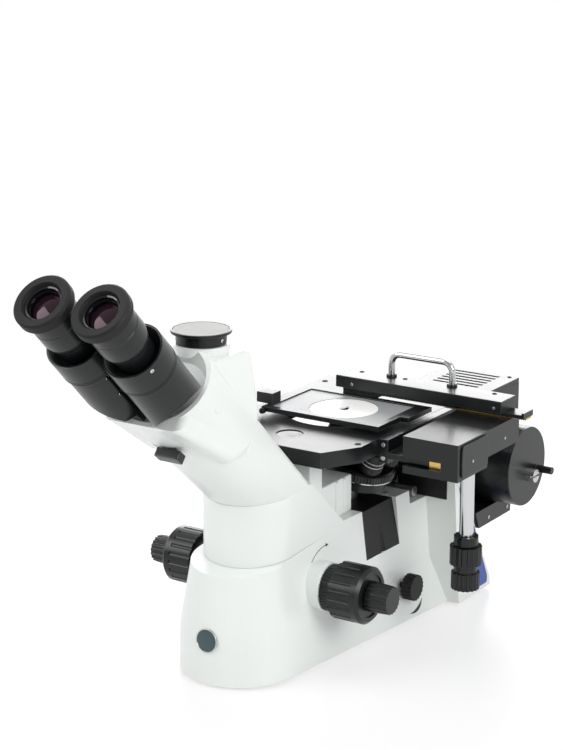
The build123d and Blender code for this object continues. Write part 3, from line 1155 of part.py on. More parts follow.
# Lamp beam: shelf from the raked back of the column
beam_z1 = LAMP_Z - DRUM_R - GAP
with BuildPart() as lamp_beam:
    with BuildSketch(Plane.YZ.offset(BEAM_X0)):
        with BuildLine():
            Polyline((column_back_y(beam_z1 - BEAM_T), beam_z1 - BEAM_T), (BEAM_REAR_Y, beam_z1 - BEAM_T),
                     (BEAM_REAR_Y, beam_z1), (column_back_y(beam_z1), beam_z1), close=True)
        make_face()
    extrude(amount=COLUMN_HALF - BEAM_X0)
lamp_beam.part.label = "lamp_beam"
export_step(lamp_beam.part, "parts/lamp_beam.step")

# Lamp drum: open to the end cover and to the illuminator tube, with pads for the beam and the house
with BuildPart() as lamp_drum:
    rod(along_x(DRUM_X0, LAMP_Y, LAMP_Z), DRUM_R, DRUM_X1 - DRUM_X0)
    block(HOUSE_X0, HOUSE_X1, LAMP_Y - DRUM_PAD_HALF, LAMP_Y + DRUM_PAD_HALF, beam_z1, LAMP_Z)
    block(HOUSE_X0 + DRUM_WALL, HOUSE_X1 - DRUM_WALL, LAMP_Y - DRUM_PAD_HALF, LAMP_Y + DRUM_PAD_HALF, LAMP_Z,
          LAMP_Z + DRUM_R + DRUM_PAD_HALF)
    rod(along_x(DRUM_X0 + DRUM_WALL, LAMP_Y, LAMP_Z), DRUM_R - DRUM_WALL, DRUM_X1 - DRUM_X0, Mode.SUBTRACT)
    rod(along_y(0, LAMP_Y - DRUM_R, LAMP_Z), DRUM_PAD_HALF, DRUM_R, Mode.SUBTRACT)
lamp_drum.part.label = "lamp_drum"
export_step(lamp_drum.part, "parts/lamp_drum.step")

# Lamp end cover: the door of the drum with its handle pin
with BuildPart() as lamp_end_cover:
    rod(along_x(DRUM_X1, LAMP_Y, LAMP_Z), DRUM_R, END_COVER_T)
    rod(along_x(DRUM_X1 + END_COVER_T, *LAMP_PIN_AT), LAMP_PIN_R, LAMP_PIN_L)
lamp_end_cover.part.label = "lamp_end_cover"
export_step(lamp_end_cover.part, "parts/lamp_end_cover.step")

# Lamp cover knob: the slotted nickel screw of the door
with BuildPart() as lamp_cover_knob:
    rod(along_x(DRUM_X1 + END_COVER_T, *LAMP_KNOB_AT), LAMP_KNOB_R, LAMP_KNOB_H)
    block(DRUM_X1 + END_COVER_T + 0.7 * LAMP_KNOB_H, DRUM_X1 + END_COVER_T + LAMP_KNOB_H,
          LAMP_KNOB_AT[0] - LAMP_KNOB_R, LAMP_KNOB_AT[0] + LAMP_KNOB_R, LAMP_KNOB_AT[1] - 1, LAMP_KNOB_AT[1] + 1,
          Mode.SUBTRACT)
lamp_cover_knob.part.label = "lamp_cover_knob"
export_step(lamp_cover_knob.part, "parts/lamp_cover_knob.step")

# Lamp house: the sheet box round the top of the drum
lamp_box_z1 = LAMP_TOP_Z - VENT_T
with BuildPart() as lamp_house:
    block(HOUSE_X0, HOUSE_X1, LAMP_FRONT_Y, LAMP_REAR_Y, LAMP_Z, lamp_box_z1)
    block(HOUSE_X0 + DRUM_WALL, HOUSE_X1 - DRUM_WALL, LAMP_FRONT_Y + DRUM_WALL, LAMP_REAR_Y - DRUM_WALL, LAMP_Z,
          lamp_box_z1, Mode.SUBTRACT)
    rod(along_x(DRUM_X0, LAMP_Y, LAMP_Z), DRUM_R + GAP, DRUM_X1 - DRUM_X0, Mode.SUBTRACT)
    rod(along_y(0, ILLUM_FRONT_Y, LAMP_Z), ILLUM_R + GAP, LAMP_Y - ILLUM_FRONT_Y, Mode.SUBTRACT)
lamp_house.part.label = "lamp_house"
export_step(lamp_house.part, "parts/lamp_house.step")

# Lamp vent cover: slotted lid
with BuildPart() as lamp_vent_cover:
    block(HOUSE_X0, HOUSE_X1, LAMP_FRONT_Y, LAMP_REAR_Y, lamp_box_z1, LAMP_TOP_Z)
    for index in range(VENT_SLOTS):
        vent_x = (HOUSE_X0 + HOUSE_X1) / 2
        vent_y = (LAMP_FRONT_Y + LAMP_REAR_Y) / 2 + (index - (VENT_SLOTS - 1) / 2) * VENT_PITCH
        block(vent_x - VENT_L / 2, vent_x + VENT_L / 2, vent_y - VENT_W / 2, vent_y + VENT_W / 2, lamp_box_z1,
              LAMP_TOP_Z, Mode.SUBTRACT)
lamp_vent_cover.part.label = "lamp_vent_cover"
export_step(lamp_vent_cover.part, "parts/lamp_vent_cover.step")

# Halogen lamp: socket on the door, bulb in the drum
with BuildPart() as halogen_lamp:
    rod(along_x(SOCKET_X0, LAMP_Y, LAMP_Z), SOCKET_R, DRUM_X1 - SOCKET_X0)
    rod(along_x(BULB_X0, LAMP_Y, LAMP_Z), BULB_R, SOCKET_X0 - BULB_X0)
halogen_lamp.part.label = "halogen_lamp"
export_step(halogen_lamp.part, "parts/halogen_lamp.step")
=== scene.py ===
import json
from math import atan2, cos, degrees, pi, radians, sin

import bmesh
import bpy
from mathutils import Matrix, Vector
from mathutils.bvhtree import BVHTree

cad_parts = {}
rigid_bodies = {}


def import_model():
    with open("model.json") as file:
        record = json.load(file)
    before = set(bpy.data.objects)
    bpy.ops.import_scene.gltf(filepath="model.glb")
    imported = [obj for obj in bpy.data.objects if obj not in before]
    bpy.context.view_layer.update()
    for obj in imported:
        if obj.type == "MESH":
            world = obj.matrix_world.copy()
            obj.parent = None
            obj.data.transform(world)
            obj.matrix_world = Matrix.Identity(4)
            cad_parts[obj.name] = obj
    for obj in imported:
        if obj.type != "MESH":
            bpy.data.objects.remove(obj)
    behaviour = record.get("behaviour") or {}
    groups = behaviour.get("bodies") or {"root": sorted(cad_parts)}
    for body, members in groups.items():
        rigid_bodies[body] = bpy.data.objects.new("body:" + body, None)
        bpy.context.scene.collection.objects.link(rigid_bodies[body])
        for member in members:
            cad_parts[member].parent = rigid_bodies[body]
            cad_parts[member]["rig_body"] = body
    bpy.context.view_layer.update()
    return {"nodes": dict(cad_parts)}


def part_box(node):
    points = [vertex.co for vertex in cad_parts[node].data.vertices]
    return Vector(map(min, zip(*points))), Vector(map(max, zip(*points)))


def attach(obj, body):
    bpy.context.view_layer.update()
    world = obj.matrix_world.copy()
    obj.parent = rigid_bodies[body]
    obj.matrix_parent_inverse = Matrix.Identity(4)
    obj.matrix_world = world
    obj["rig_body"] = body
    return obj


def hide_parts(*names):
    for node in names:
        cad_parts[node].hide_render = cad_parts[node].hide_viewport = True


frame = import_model()


# Base casting: one hollow aluminium casting with a round nose and a flared skirt,
# sprayed in white enamel that leaves a faint orange peel. Screw pillars inside
# take the bottom plate, and the bosses on both flanks carry the focus shaft.
def fine_grain():
    """Shared surface effect: fine bump, slow change of gloss, and edges lightened in patches, partly as
    wear and partly as a painted edge highlight.
    """
    group = bpy.data.node_groups.new("fine_grain", "ShaderNodeTree")
    face = group.interface
    face.new_socket("Stretch", in_out="INPUT", socket_type="NodeSocketVector").default_value = (1, 1, 1)
    for name, value in (("Grain Scale", 900.0), ("Rough Low", 0.3), ("Rough High", 0.4)):
        face.new_socket(name, in_out="INPUT", socket_type="NodeSocketFloat").default_value = value
    for name in ("Height", "Roughness", "Patch", "Wear And Highlight"):
        face.new_socket(name, in_out="OUTPUT", socket_type="NodeSocketFloat")
    nodes, links = group.nodes, group.links
    entry, leave = nodes.new("NodeGroupInput"), nodes.new("NodeGroupOutput")
    place, pull = nodes.new("ShaderNodeTexCoord"), nodes.new("ShaderNodeVectorMath")
    pull.operation = "MULTIPLY"
    grain, patch, wear_highlight_noise = (nodes.new("ShaderNodeTexNoise") for _ in range(3))
    gloss, wear_highlight_patches = nodes.new("ShaderNodeMapRange"), nodes.new("ShaderNodeMapRange")
    edge = nodes.new("ShaderNodeMath")
    edge.operation = "MULTIPLY"
    # Bevel faces in noisy patches get a lighter colour: wear and a painted edge highlight.
    broken = nodes.new("ShaderNodeAttribute")
    broken.attribute_name = "edge_wear_and_highlight"
    grain.inputs["Detail"].default_value = 3.0
    patch.inputs["Scale"].default_value = 9.0
    patch.inputs["Detail"].default_value = 4.0
    wear_highlight_noise.inputs["Scale"].default_value = 60.0
    wear_highlight_noise.inputs["Detail"].default_value = 5.0
    links.new(place.outputs["Object"], pull.inputs[0])
    links.new(entry.outputs["Stretch"], pull.inputs[1])
    links.new(pull.outputs["Vector"], grain.inputs["Vector"])
    links.new(place.outputs["Object"], patch.inputs["Vector"])
    links.new(place.outputs["Object"], wear_highlight_noise.inputs["Vector"])
    links.new(entry.outputs["Grain Scale"], grain.inputs["Scale"])
    links.new(patch.outputs["Fac"], gloss.inputs["Value"])
    links.new(wear_highlight_noise.outputs["Fac"], wear_highlight_patches.inputs["Value"])
    for ramp in (gloss, wear_highlight_patches):
        ramp.inputs["From Min"].default_value = 0.3
        ramp.inputs["From Max"].default_value = 0.7
    links.new(entry.outputs["Rough Low"], gloss.inputs["To Min"])
    links.new(entry.outputs["Rough High"], gloss.inputs["To Max"])
    links.new(broken.outputs["Fac"], edge.inputs[0])
    links.new(wear_highlight_patches.outputs["Result"], edge.inputs[1])
    links.new(grain.outputs["Fac"], leave.inputs["Height"])
    links.new(gloss.outputs["Result"], leave.inputs["Roughness"])
    links.new(patch.outputs["Fac"], leave.inputs["Patch"])
    links.new(edge.outputs["Value"], leave.inputs["Wear And Highlight"])
    return group


grain_effect = fine_grain()


def finish(name, light, dark, wear_and_highlight, grain, depth, rough,
           stretch=(1, 1, 1), metallic=0.0, specular=0.5, coat=0.0):
    """A surface finish: two close colours in patches, edges lightened as wear and as a painted highlight,
    a fine bump and a range of gloss.
    """
    surface = bpy.data.materials.new(name)
    surface.use_nodes = True
    nodes, links = surface.node_tree.nodes, surface.node_tree.links
    shader = nodes["Principled BSDF"]
    effect = nodes.new("ShaderNodeGroup")
    effect.node_tree = grain_effect
    effect.inputs["Stretch"].default_value = stretch
    effect.inputs["Grain Scale"].default_value = grain
    effect.inputs["Rough Low"].default_value, effect.inputs["Rough High"].default_value = rough
    tone, wear_and_highlight_mix = nodes.new("ShaderNodeMix"), nodes.new("ShaderNodeMix")
    for mix in (tone, wear_and_highlight_mix):
        mix.data_type = "RGBA"
    tone.inputs["A"].default_value = (*light, 1)
    tone.inputs["B"].default_value = (*dark, 1)
    # Lighter edge colour: wear and a painted edge highlight.
    wear_and_highlight_mix.inputs["B"].default_value = (*wear_and_highlight, 1)
    bump = nodes.new("ShaderNodeBump")
    bump.inputs["Strength"].default_value = depth
    bump.inputs["Distance"].default_value = 0.0002
    links.new(effect.outputs["Patch"], tone.inputs["Factor"])
    links.new(tone.outputs["Result"], wear_and_highlight_mix.inputs["A"])
    links.new(effect.outputs["Wear And Highlight"], wear_and_highlight_mix.inputs["Factor"])
    links.new(wear_and_highlight_mix.outputs["Result"], shader.inputs["Base Color"])
    links.new(effect.outputs["Roughness"], shader.inputs["Roughness"])
    links.new(effect.outputs["Height"], bump.inputs["Height"])
    links.new(bump.outputs["Normal"], shader.inputs["Normal"])
    shader.inputs["Metallic"].default_value = metallic
    shader.inputs["Specular IOR Level"].default_value = specular
    shader.inputs["Coat Weight"].default_value = coat
    shader.inputs["Coat Roughness"].default_value = 0.12
    return surface


def settle(name, shell, surface, body, sharp=40):
    """Makes the finished shell an object that rides on its body."""
    for face in shell.faces:
        face.smooth = True
    for edge in shell.edges:
        edge.smooth = not edge.is_manifold or edge.calc_face_angle() < radians(sharp)
    mesh = bpy.data.meshes.new(name)
    shell.to_mesh(mesh)
    shell.free()
    mesh.materials.append(surface)
    piece = bpy.data.objects.new(name, mesh)
    bpy.context.scene.collection.objects.link(piece)
    even = piece.modifiers.new("even_shading", "WEIGHTED_NORMAL")
    even.keep_sharp = True
    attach(piece, body)
    return piece


WELD_GAP = 2e-6
FLAT_ANGLE = 0.4
CORNER_ANGLE = 32


def skin(node, surface, edge=0.0006, shape=None):
    """The solid merged to one shell, shaped if asked, with its edges broken, in place of the raw one."""
    source = frame["nodes"][node]
    shell = bmesh.new()
    shell.from_mesh(source.data)
    wear_and_highlight = shell.faces.layers.float.new("edge_wear_and_highlight")
    bmesh.ops.remove_doubles(shell, verts=shell.verts, dist=WELD_GAP)
    bmesh.ops.dissolve_limit(shell, angle_limit=radians(FLAT_ANGLE), verts=shell.verts, edges=shell.edges)
    if shape:
        shape(shell)
    corners = [e for e in shell.edges if e.is_manifold and e.calc_face_angle() > radians(CORNER_ANGLE)]
    broken = bmesh.ops.bevel(shell, geom=corners, offset=edge, offset_type="OFFSET", affect="EDGES",
                             segments=2, profile=0.5, material=-1, clamp_overlap=True)
    # Bevel faces are marked for the lighter edge colour: wear and a painted edge highlight.
    for face in broken["faces"]:
        face[wear_and_highlight] = 1.0
    piece = settle(node + "_skin", shell, surface, source["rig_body"])
    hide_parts(node)


white_enamel = finish("white_enamel", (0.79, 0.82, 0.80), (0.765, 0.797, 0.776), (0.83, 0.84, 0.83),
                      grain=420.0, depth=0.05, rough=(0.28, 0.36), coat=0.15)
skin("base_casting", white_enamel, edge=0.0015)

# Bottom plate and feet: zinc-plated sheet held by four socket screws in the pillars
# of the casting, with moulded rubber feet under the nose, the column and the axis.
satin_nickel = finish("satin_nickel", (0.62, 0.62, 0.61), (0.55, 0.55, 0.55), (0.7, 0.7, 0.69),
                      grain=1500.0, depth=0.05, rough=(0.24, 0.36), metallic=1.0)
black_rubber = finish("black_rubber", (0.010, 0.010, 0.011), (0.007, 0.007, 0.008), (0.016, 0.016, 0.017),
                      grain=2600.0, depth=0.25, rough=(0.5, 0.66), specular=0.3)
skin("bottom_plate", satin_nickel, edge=0.0003)
skin("rubber_feet", black_rubber, edge=0.0008)
MM = 0.001
X, Y, Z = range(3)


def low_side(node, axis):
    """Lower end of a solid along one axis, in millimetres."""
    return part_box(node)[0][axis] / MM


def fit(name, shell, surface, body, sharp=40):
    """Scales a shell from millimetres, turns its faces outward and settles it."""
    bmesh.ops.scale(shell, verts=shell.verts, vec=(MM, MM, MM))
    bmesh.ops.recalc_face_normals(shell, faces=shell.faces)
    return settle(name, shell, surface, body, sharp)


def stand_on(point, normal):
    """Place of a shape built upright: its foot on the point, its axis along the normal."""
    lift = Vector(normal).to_track_quat("Z", "Y").to_matrix().to_4x4()
    return Matrix.Translation(point) @ lift


def put(target, shell, place):
    """Adds a placed copy of a small shell to a larger one."""
    copy = bpy.data.meshes.new("copy")
    shell.to_mesh(copy)
    copy.transform(place)
    target.from_mesh(copy)
    bpy.data.meshes.remove(copy)


def verts_in(geom):
    """The vertices in what an operator gives back."""
    return [g for g in geom if isinstance(g, bmesh.types.BMVert)]


def raise_rim(shell, rise, spread=1.0):
    """Draws the open rim of a shell up or down and widens or narrows it."""
    rim = [e for e in shell.edges if e.is_boundary]
    drawn = verts_in(bmesh.ops.extrude_edge_only(shell, edges=rim)["geom"])
    bmesh.ops.scale(shell, verts=drawn, vec=(spread, spread, 1))
    bmesh.ops.translate(shell, verts=drawn, vec=(0, 0, rise))


# Shares of a screw head's height and radius.
SCREW_WALL = 0.75
SCREW_TOP = 0.86
SOCKET_WIDTH = 0.52
SOCKET_DEPTH = 0.6


def socket_screws(name, spots, surface, body, radius, height):
    """Socket screws, each with a broken edge and a hexagon socket, on their points and normals."""
    head = bmesh.new()
    bmesh.ops.create_circle(head, cap_ends=True, segments=24, radius=radius)
    raise_rim(head, SCREW_WALL * height)
    raise_rim(head, (1 - SCREW_WALL) * height, SCREW_TOP)
    hexagon = bmesh.ops.create_circle(head, segments=6, radius=SOCKET_WIDTH * radius)["verts"]
    bmesh.ops.translate(head, verts=hexagon, vec=(0, 0, height))
    bmesh.ops.bridge_loops(head, edges=[e for e in head.edges if e.is_boundary or e.is_wire])
    raise_rim(head, -SOCKET_DEPTH * height)
    bmesh.ops.contextual_create(head, geom=[e for e in head.edges if e.is_boundary])
    group = bmesh.new()
    for point, normal in spots:
        put(group, head, stand_on(point, normal))
    head.free()
    fit(name, group, surface, body)


UP, DOWN = (0, 0, 1), (0, 0, -1)
SIDES = (-1, 1)
PLATE_SCREWS = ((36, -60), (42, 60))
plate_underside = low_side("bottom_plate", Z)
socket_screws("plate_screws",
              [((side * x, y, plate_underside), DOWN) for x, y in PLATE_SCREWS for side in SIDES],
              satin_nickel, "stand", radius=3.5, height=1.6)


# Badge: a domed disc of slate enamel in a thin nickel ring, pressed into the front
# of the nose.
def spun(profile, steps):
    """A shell spun from the points of a half section (radius, height)."""
    shell = bmesh.new()
    line = [shell.verts.new((r, 0, z)) for r, z in profile]
    for first, second in zip(line, line[1:]):
        shell.edges.new((first, second))
    bmesh.ops.spin(shell, geom=shell.verts[:] + shell.edges[:], cent=(0, 0, 0), axis=UP, dvec=(0, 0, 0),
                   angle=radians(360), steps=steps, use_merge=True)
    bmesh.ops.remove_doubles(shell, verts=shell.verts, dist=1e-5)
    return shell


def turned(name, profile, places, surface, body, steps=64):
    """One or more like turned pieces, as one object."""
    group, single = bmesh.new(), spun(profile, steps)
    for place in places:
        put(group, single, place)
    single.free()
    return fit(name, group, surface, body)


slate_enamel = finish("slate_enamel", (0.028, 0.060, 0.070), (0.022, 0.050, 0.060), (0.05, 0.08, 0.09),
                      grain=700.0, depth=0.02, rough=(0.16, 0.24), coat=0.4)
BADGE_POINT = (0, -235.8, 46.5)
BADGE_NORMAL = (0, -1, 0.09)
BADGE_R = 10.6
BADGE_RING_R = 11.8
BADGE_FOOT = -3
badge_disc = [(0, 1.5), (4, 1.45), (7, 1.3), (BADGE_R, 0.9), (BADGE_R, BADGE_FOOT), (0, BADGE_FOOT)]
badge_ring = [(BADGE_R, BADGE_FOOT), (BADGE_R, 0.8), (10.9, 1.2), (11.4, 1.2), (BADGE_RING_R, 0.8),
              (BADGE_RING_R, BADGE_FOOT), (BADGE_R, BADGE_FOOT)]
badge_place = stand_on(BADGE_POINT, BADGE_NORMAL)
turned("badge_disc", badge_disc, [badge_place], slate_enamel, "stand")
turned("badge_ring", badge_ring, [badge_place], satin_nickel, "stand")

# Marks in black on the right flank of the casting: a printed arc arrow over the
# tension ring, and a crescent of painted shadow under the lamp knob.
RIGHT = (1, 0, 0)
BEYOND_FLANK = 300
MARK_SUNK = 0.1
MARK_THICK = 0.22


def drape(shell, node, side):
    """Lays the flat shell (Y and Z in millimetres) on the flank of a solid and makes it a thin layer."""
    flank = bmesh.new()
    flank.from_mesh(frame["nodes"][node].data)
    tree = BVHTree.FromBMesh(flank)
    for vert in shell.verts:
        start = Vector((side * BEYOND_FLANK, vert.co.y, vert.co.z)) * MM
        spot = tree.ray_cast(start, Vector((-side, 0, 0)))[0]
        vert.co.x = spot.x / MM - side * MARK_SUNK
    flank.free()
    bmesh.ops.recalc_face_normals(shell, faces=shell.faces)
    raised = bmesh.ops.extrude_face_region(shell, geom=shell.faces[:])["geom"]
    bmesh.ops.translate(shell, verts=verts_in(raised), vec=(side * MARK_THICK, 0, 0))


def round_point(centre, radius, angle):
    """A point (Y, Z) round a centre, at an angle in degrees."""
    return centre[0] + radius * cos(radians(angle)), centre[1] + radius * sin(radians(angle))


def arc_strip(centre, inner, outer, start, sweep, steps):
    """A flat strip bent round a centre in the Y-Z plane, with its radius given at both edges."""
    strip = bmesh.new()
    low, high = (strip.verts.new((0, *round_point(centre, r, start))) for r in (inner, outer))
    edge = strip.edges.new((low, high))
    bmesh.ops.spin(strip, geom=[low, high, edge], cent=(0, *centre), axis=RIGHT, dvec=(0, 0, 0),
                   angle=radians(sweep), steps=steps, use_merge=False)
    return strip


# Black ink for the printed arrow, also used for the painted shadow of the lamp knob.
ink_and_shadow_paint = finish("ink_and_shadow_paint", (0.012, 0.012, 0.012), (0.02, 0.02, 0.02), (0.02, 0.02, 0.02),
                   grain=1500.0, depth=0.02, rough=(0.4, 0.5))
ARROW_CENTRE = (-106.0, 72.0)
ARROW_R = 41.0
ARROW_HALF = 0.35
ARROW_START, ARROW_END, ARROW_TIP = 131, 91, 84
ARROW_HEAD_HALF = 1.8
arrow = arc_strip(ARROW_CENTRE, ARROW_R - ARROW_HALF, ARROW_R + ARROW_HALF, ARROW_START,
                  ARROW_END - ARROW_START, steps=18)
arrow_head = [round_point(ARROW_CENTRE, ARROW_R - ARROW_HEAD_HALF, ARROW_END),
              round_point(ARROW_CENTRE, ARROW_R + ARROW_HEAD_HALF, ARROW_END),
              round_point(ARROW_CENTRE, ARROW_R, ARROW_TIP)]
arrow.faces.new([arrow.verts.new((0, *corner)) for corner in arrow_head])
drape(arrow, "base_casting", 1)
fit("tension_arrow", arrow, ink_and_shadow_paint, "stand")

# Painted shadow of the lamp knob: a black crescent under it, thickest in the middle.
KNOB_SHADOW_CENTRE = (22.0, 28.0)
KNOB_SHADOW_R = 21.4
KNOB_SHADOW_T = 2.8
KNOB_SHADOW_TIP = 0.2
KNOB_SHADOW_START, KNOB_SHADOW_SWEEP = -32.0, 78.0
knob_shadow = arc_strip(KNOB_SHADOW_CENTRE, KNOB_SHADOW_R - KNOB_SHADOW_T, KNOB_SHADOW_R, KNOB_SHADOW_START,
                     -KNOB_SHADOW_SWEEP, steps=24)
for vert in knob_shadow.verts:
    arm = Vector((vert.co.y - KNOB_SHADOW_CENTRE[0], vert.co.z - KNOB_SHADOW_CENTRE[1]))
    share = (KNOB_SHADOW_START - degrees(atan2(arm.y, arm.x))) / KNOB_SHADOW_SWEEP
    if arm.length < KNOB_SHADOW_R - KNOB_SHADOW_T / 2:
        width = KNOB_SHADOW_T * sin(pi * min(max(share, 0.0), 1.0))
        arm *= (KNOB_SHADOW_R - KNOB_SHADOW_TIP - width) / arm.length
        vert.co.yz = (KNOB_SHADOW_CENTRE[0] + arm.x, KNOB_SHADOW_CENTRE[1] + arm.y)
drape(knob_shadow, "base_casting", 1)
fit("knob_shadow_crescent", knob_shadow, ink_and_shadow_paint, "stand")

# Rear column: an aluminium casting in the same white enamel, with raked back and
# leaning flanks, bolted to the end of the base. A blue moulded trim panel is glued
# to the rear of each flank.
skin("rear_column", white_enamel, edge=0.002)
blue_trim = finish("blue_trim", (0.022, 0.085, 0.36), (0.018, 0.07, 0.31), (0.05, 0.13, 0.42),
                   grain=900.0, depth=0.03, rough=(0.3, 0.4))
TRIM_OUTLINE = ((86, 128), (117, 74), (141, 15), (140, 7.5), (103, 7.5))
TRIM_ROUND = 2.5
for side in SIDES:
    panel = bmesh.new()
    panel.faces.new([panel.verts.new((0, y, z)) for y, z in TRIM_OUTLINE])
    bmesh.ops.bevel(panel, geom=panel.verts[:], offset=TRIM_ROUND, affect="VERTICES", segments=4,
                    profile=0.5, material=-1)
    drape(panel, "rear_column", side)
    fit("trim_right" if side > 0 else "trim_left", panel, blue_trim, "stand")

# Neck: the front arm between the two tilted seams, an aluminium casting in the same
# white enamel, bolted to the base below and to the head above.
skin("front_arm", white_enamel, edge=0.0012)

# Stage posts: the front one is enamelled casting with two upright ribs on each
# side, the rear one black anodised aluminium over the illuminator tube. Two screws
# sit on the bridge of the base casting between them.
black_anodised = finish("black_anodised", (0.0070, 0.0082, 0.0090), (0.005, 0.0059, 0.0065),
                        (0.045, 0.048, 0.05), grain=3200.0, depth=0.08, rough=(0.27, 0.34),
                        specular=0.34, coat=0.1)
skin("stage_front_post", white_enamel, edge=0.002)
skin("stage_rear_post", black_anodised)


def high_side(node, axis):
    """Upper end of a solid along one axis, in millimetres."""
    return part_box(node)[1][axis] / MM


def add_block(shell, size, centre):
    """Adds a plain block of the given size round its centre."""
    block = bmesh.ops.create_cube(shell, size=1.0)["verts"]
    bmesh.ops.scale(shell, verts=block, vec=size)
    bmesh.ops.translate(shell, verts=block, vec=centre)


def round_edges(shell, width, segments):
    """Rounds every edge of the shell."""
    bmesh.ops.bevel(shell, geom=shell.edges[:], offset=width, offset_type="OFFSET", affect="EDGES",
                    segments=segments, profile=0.5, material=-1)


RIB_SIZE = (2.6, 4.5, 36.0)
RIB_Y = (-69.0, -55.0)
RIB_Z = 147.0
post_flank = high_side("stage_front_post", X)
ribs = bmesh.new()
for side in SIDES:
    for y in RIB_Y:
        add_block(ribs, RIB_SIZE, (side * post_flank, y, RIB_Z))
round_edges(ribs, width=0.9, segments=3)
fit("post_ribs", ribs, white_enamel, "stand")
BRIDGE_X, BRIDGE_Y, BRIDGE_TOP = 40, 27.2, 127
socket_screws("bridge_screws", [((side * BRIDGE_X, BRIDGE_Y, BRIDGE_TOP), UP) for side in SIDES],
              satin_nickel, "stand", radius=2.6, height=1.0)

# Bay cover: a bent sheet saddle over the focus guide with a pressed grip groove,
# in black powder coat.
powder_coat = finish("powder_coat", (0.008, 0.008, 0.0085), (0.006, 0.006, 0.0065), (0.02, 0.02, 0.021),
                     grain=1300.0, depth=0.3, rough=(0.42, 0.52), specular=0.3)
skin("bay_cover", powder_coat, edge=0.0008)

# Illuminator: a turned black tube flanged to the column between two light shields,
# its filter slider with a metal end, and the moulded mains inlet with three pins.
black_plastic = finish("black_plastic", (0.0080, 0.0088, 0.0094), (0.006, 0.0066, 0.007),
                       (0.022, 0.023, 0.024), grain=1700.0, depth=0.12, rough=(0.24, 0.36), specular=0.4)
skin("illuminator_tube", black_anodised)
SHIELD_SIZE = (58.0, 1.2, 36.0)
SHIELD_X, SHIELD_Y, SHIELD_Z = 54.0, 77.4, 131.5
shields = bmesh.new()
for side in SIDES:
    add_block(shields, SHIELD_SIZE, (side * SHIELD_X, SHIELD_Y, SHIELD_Z))
round_edges(shields, width=0.4, segments=2)
fit("lamp_shields", shields, powder_coat, "stand")
skin("filter_slider", satin_nickel, edge=0.0008)
skin("power_inlet", black_plastic)
PIN_SIZE = (2.0, 11.0, 4.0)
PIN_Y = 100.0
PIN_SPOTS = ((-71.5, 120.0), (-60.5, 120.0), (-66.0, 124.5))
pins = bmesh.new()
for x, z in PIN_SPOTS:
    add_block(pins, PIN_SIZE, (x, PIN_Y, z))
round_edges(pins, width=0.5, segments=2)
fit("inlet_pins", pins, satin_nickel, "stand")

# Focus block: the guide and the carrier that slides in it are machined steel, left
# bright, and the nosepiece mount screwed to the carrier is black anodised aluminium.
skin("focus_guide", satin_nickel)
skin("focus_carrier", satin_nickel)
skin("nosepiece_mount", black_anodised)

# Turret: a black turned disc, tilted towards the right, with a ribbed grip ring and
# a bright bevel under it.
bright_chrome = finish("bright_chrome", (0.66, 0.67, 0.68), (0.60, 0.61, 0.62), (0.7, 0.7, 0.7),
                       grain=1200.0, depth=0.0, rough=(0.13, 0.19), metallic=1.0)
skin("nosepiece_turret", black_anodised)
TURRET_CENTRE = (24, 0, 168)
turret_tilt = radians(15)
turret_place = stand_on(TURRET_CENTRE, (sin(turret_tilt), 0, cos(turret_tilt)))


def edges_among(geom, verts):
    """The edges, in what an operator gives back, that have both ends among the vertices."""
    ends = set(verts)
    return [g for g in geom if isinstance(g, bmesh.types.BMEdge) and ends.issuperset(g.verts)]


def heading_of(vert):
    """Angle of a vertex round the upright axis."""
    return Vector((vert.co.x, vert.co.y)).angle_signed((1, 0))


def ribbed_ring(inner, outer, depth, low, high, count):
    """A closed ring with upright ribs round its outside."""
    shell = bmesh.new()
    bmesh.ops.create_circle(shell, segments=2 * count, radius=inner)
    bmesh.ops.translate(shell, verts=shell.verts, vec=(0, 0, low))
    ring = shell.edges[:]
    for radius, height in ((outer, low), (outer, high), (inner, high)):
        drawn = bmesh.ops.extrude_edge_only(shell, edges=ring)["geom"]
        corners = verts_in(drawn)
        for number, vert in enumerate(sorted(corners, key=heading_of)):
            reach = radius - (depth if radius == outer and number % 2 else 0)
            flat = Vector((vert.co.x, vert.co.y)).normalized() * reach
            vert.co = (flat.x, flat.y, height)
        ring = edges_among(drawn, corners)
    bmesh.ops.bridge_loops(shell, edges=[e for e in shell.edges if e.is_boundary])
    return shell


grip = ribbed_ring(inner=37.4, outer=38.8, depth=0.55, low=-8.6, high=-1.8, count=72)
bmesh.ops.transform(grip, matrix=turret_place, verts=grip.verts)
fit("turret_grip", grip, black_plastic, "turret", sharp=20)
turret_bevel = [(36.4, -12.05), (38.5, -9.9), (38.5, -8.9), (37.6, -8.9), (35.8, -11.9), (36.4, -12.05)]
turned("turret_bevel", turret_bevel, [turret_place], bright_chrome, "turret", steps=96)

# Objectives: five turned barrels in black, each with a knurled ring, a nickel edge,
# a thin ring of its colour and a small front lens.
skin("objectives", black_anodised, edge=0.0005)
OBJECTIVE_LENGTHS = (36.0, 32.0, 34.5, 30.0, 36.0)
OBJECTIVE_CIRCLE = 24
STEP_SHARE, BAND_SHARE = 0.6, 0.42
BAND_WIDTH = 1.1
BAND_SHADE = 0.85
RING_COLOURS = ((0.55, 0.02, 0.015), (0.65, 0.42, 0.02), (0.04, 0.32, 0.05), (0.7, 0.7, 0.68),
                (0.03, 0.12, 0.45))
coated_lens = finish("coated_lens", (0.020, 0.008, 0.014), (0.012, 0.006, 0.012), (0.02, 0.01, 0.014),
                     grain=40.0, depth=0.0, rough=(0.03, 0.05), specular=0.3)
lens_shader = coated_lens.node_tree.nodes["Principled BSDF"]
lens_shader.inputs["Specular Tint"].default_value = (1.0, 0.62, 0.74, 1.0)
turret_level = Matrix.Translation(TURRET_CENTRE) @ Matrix.Rotation(turret_tilt, 4, "Y")
knurls, edges, lenses = bmesh.new(), bmesh.new(), bmesh.new()
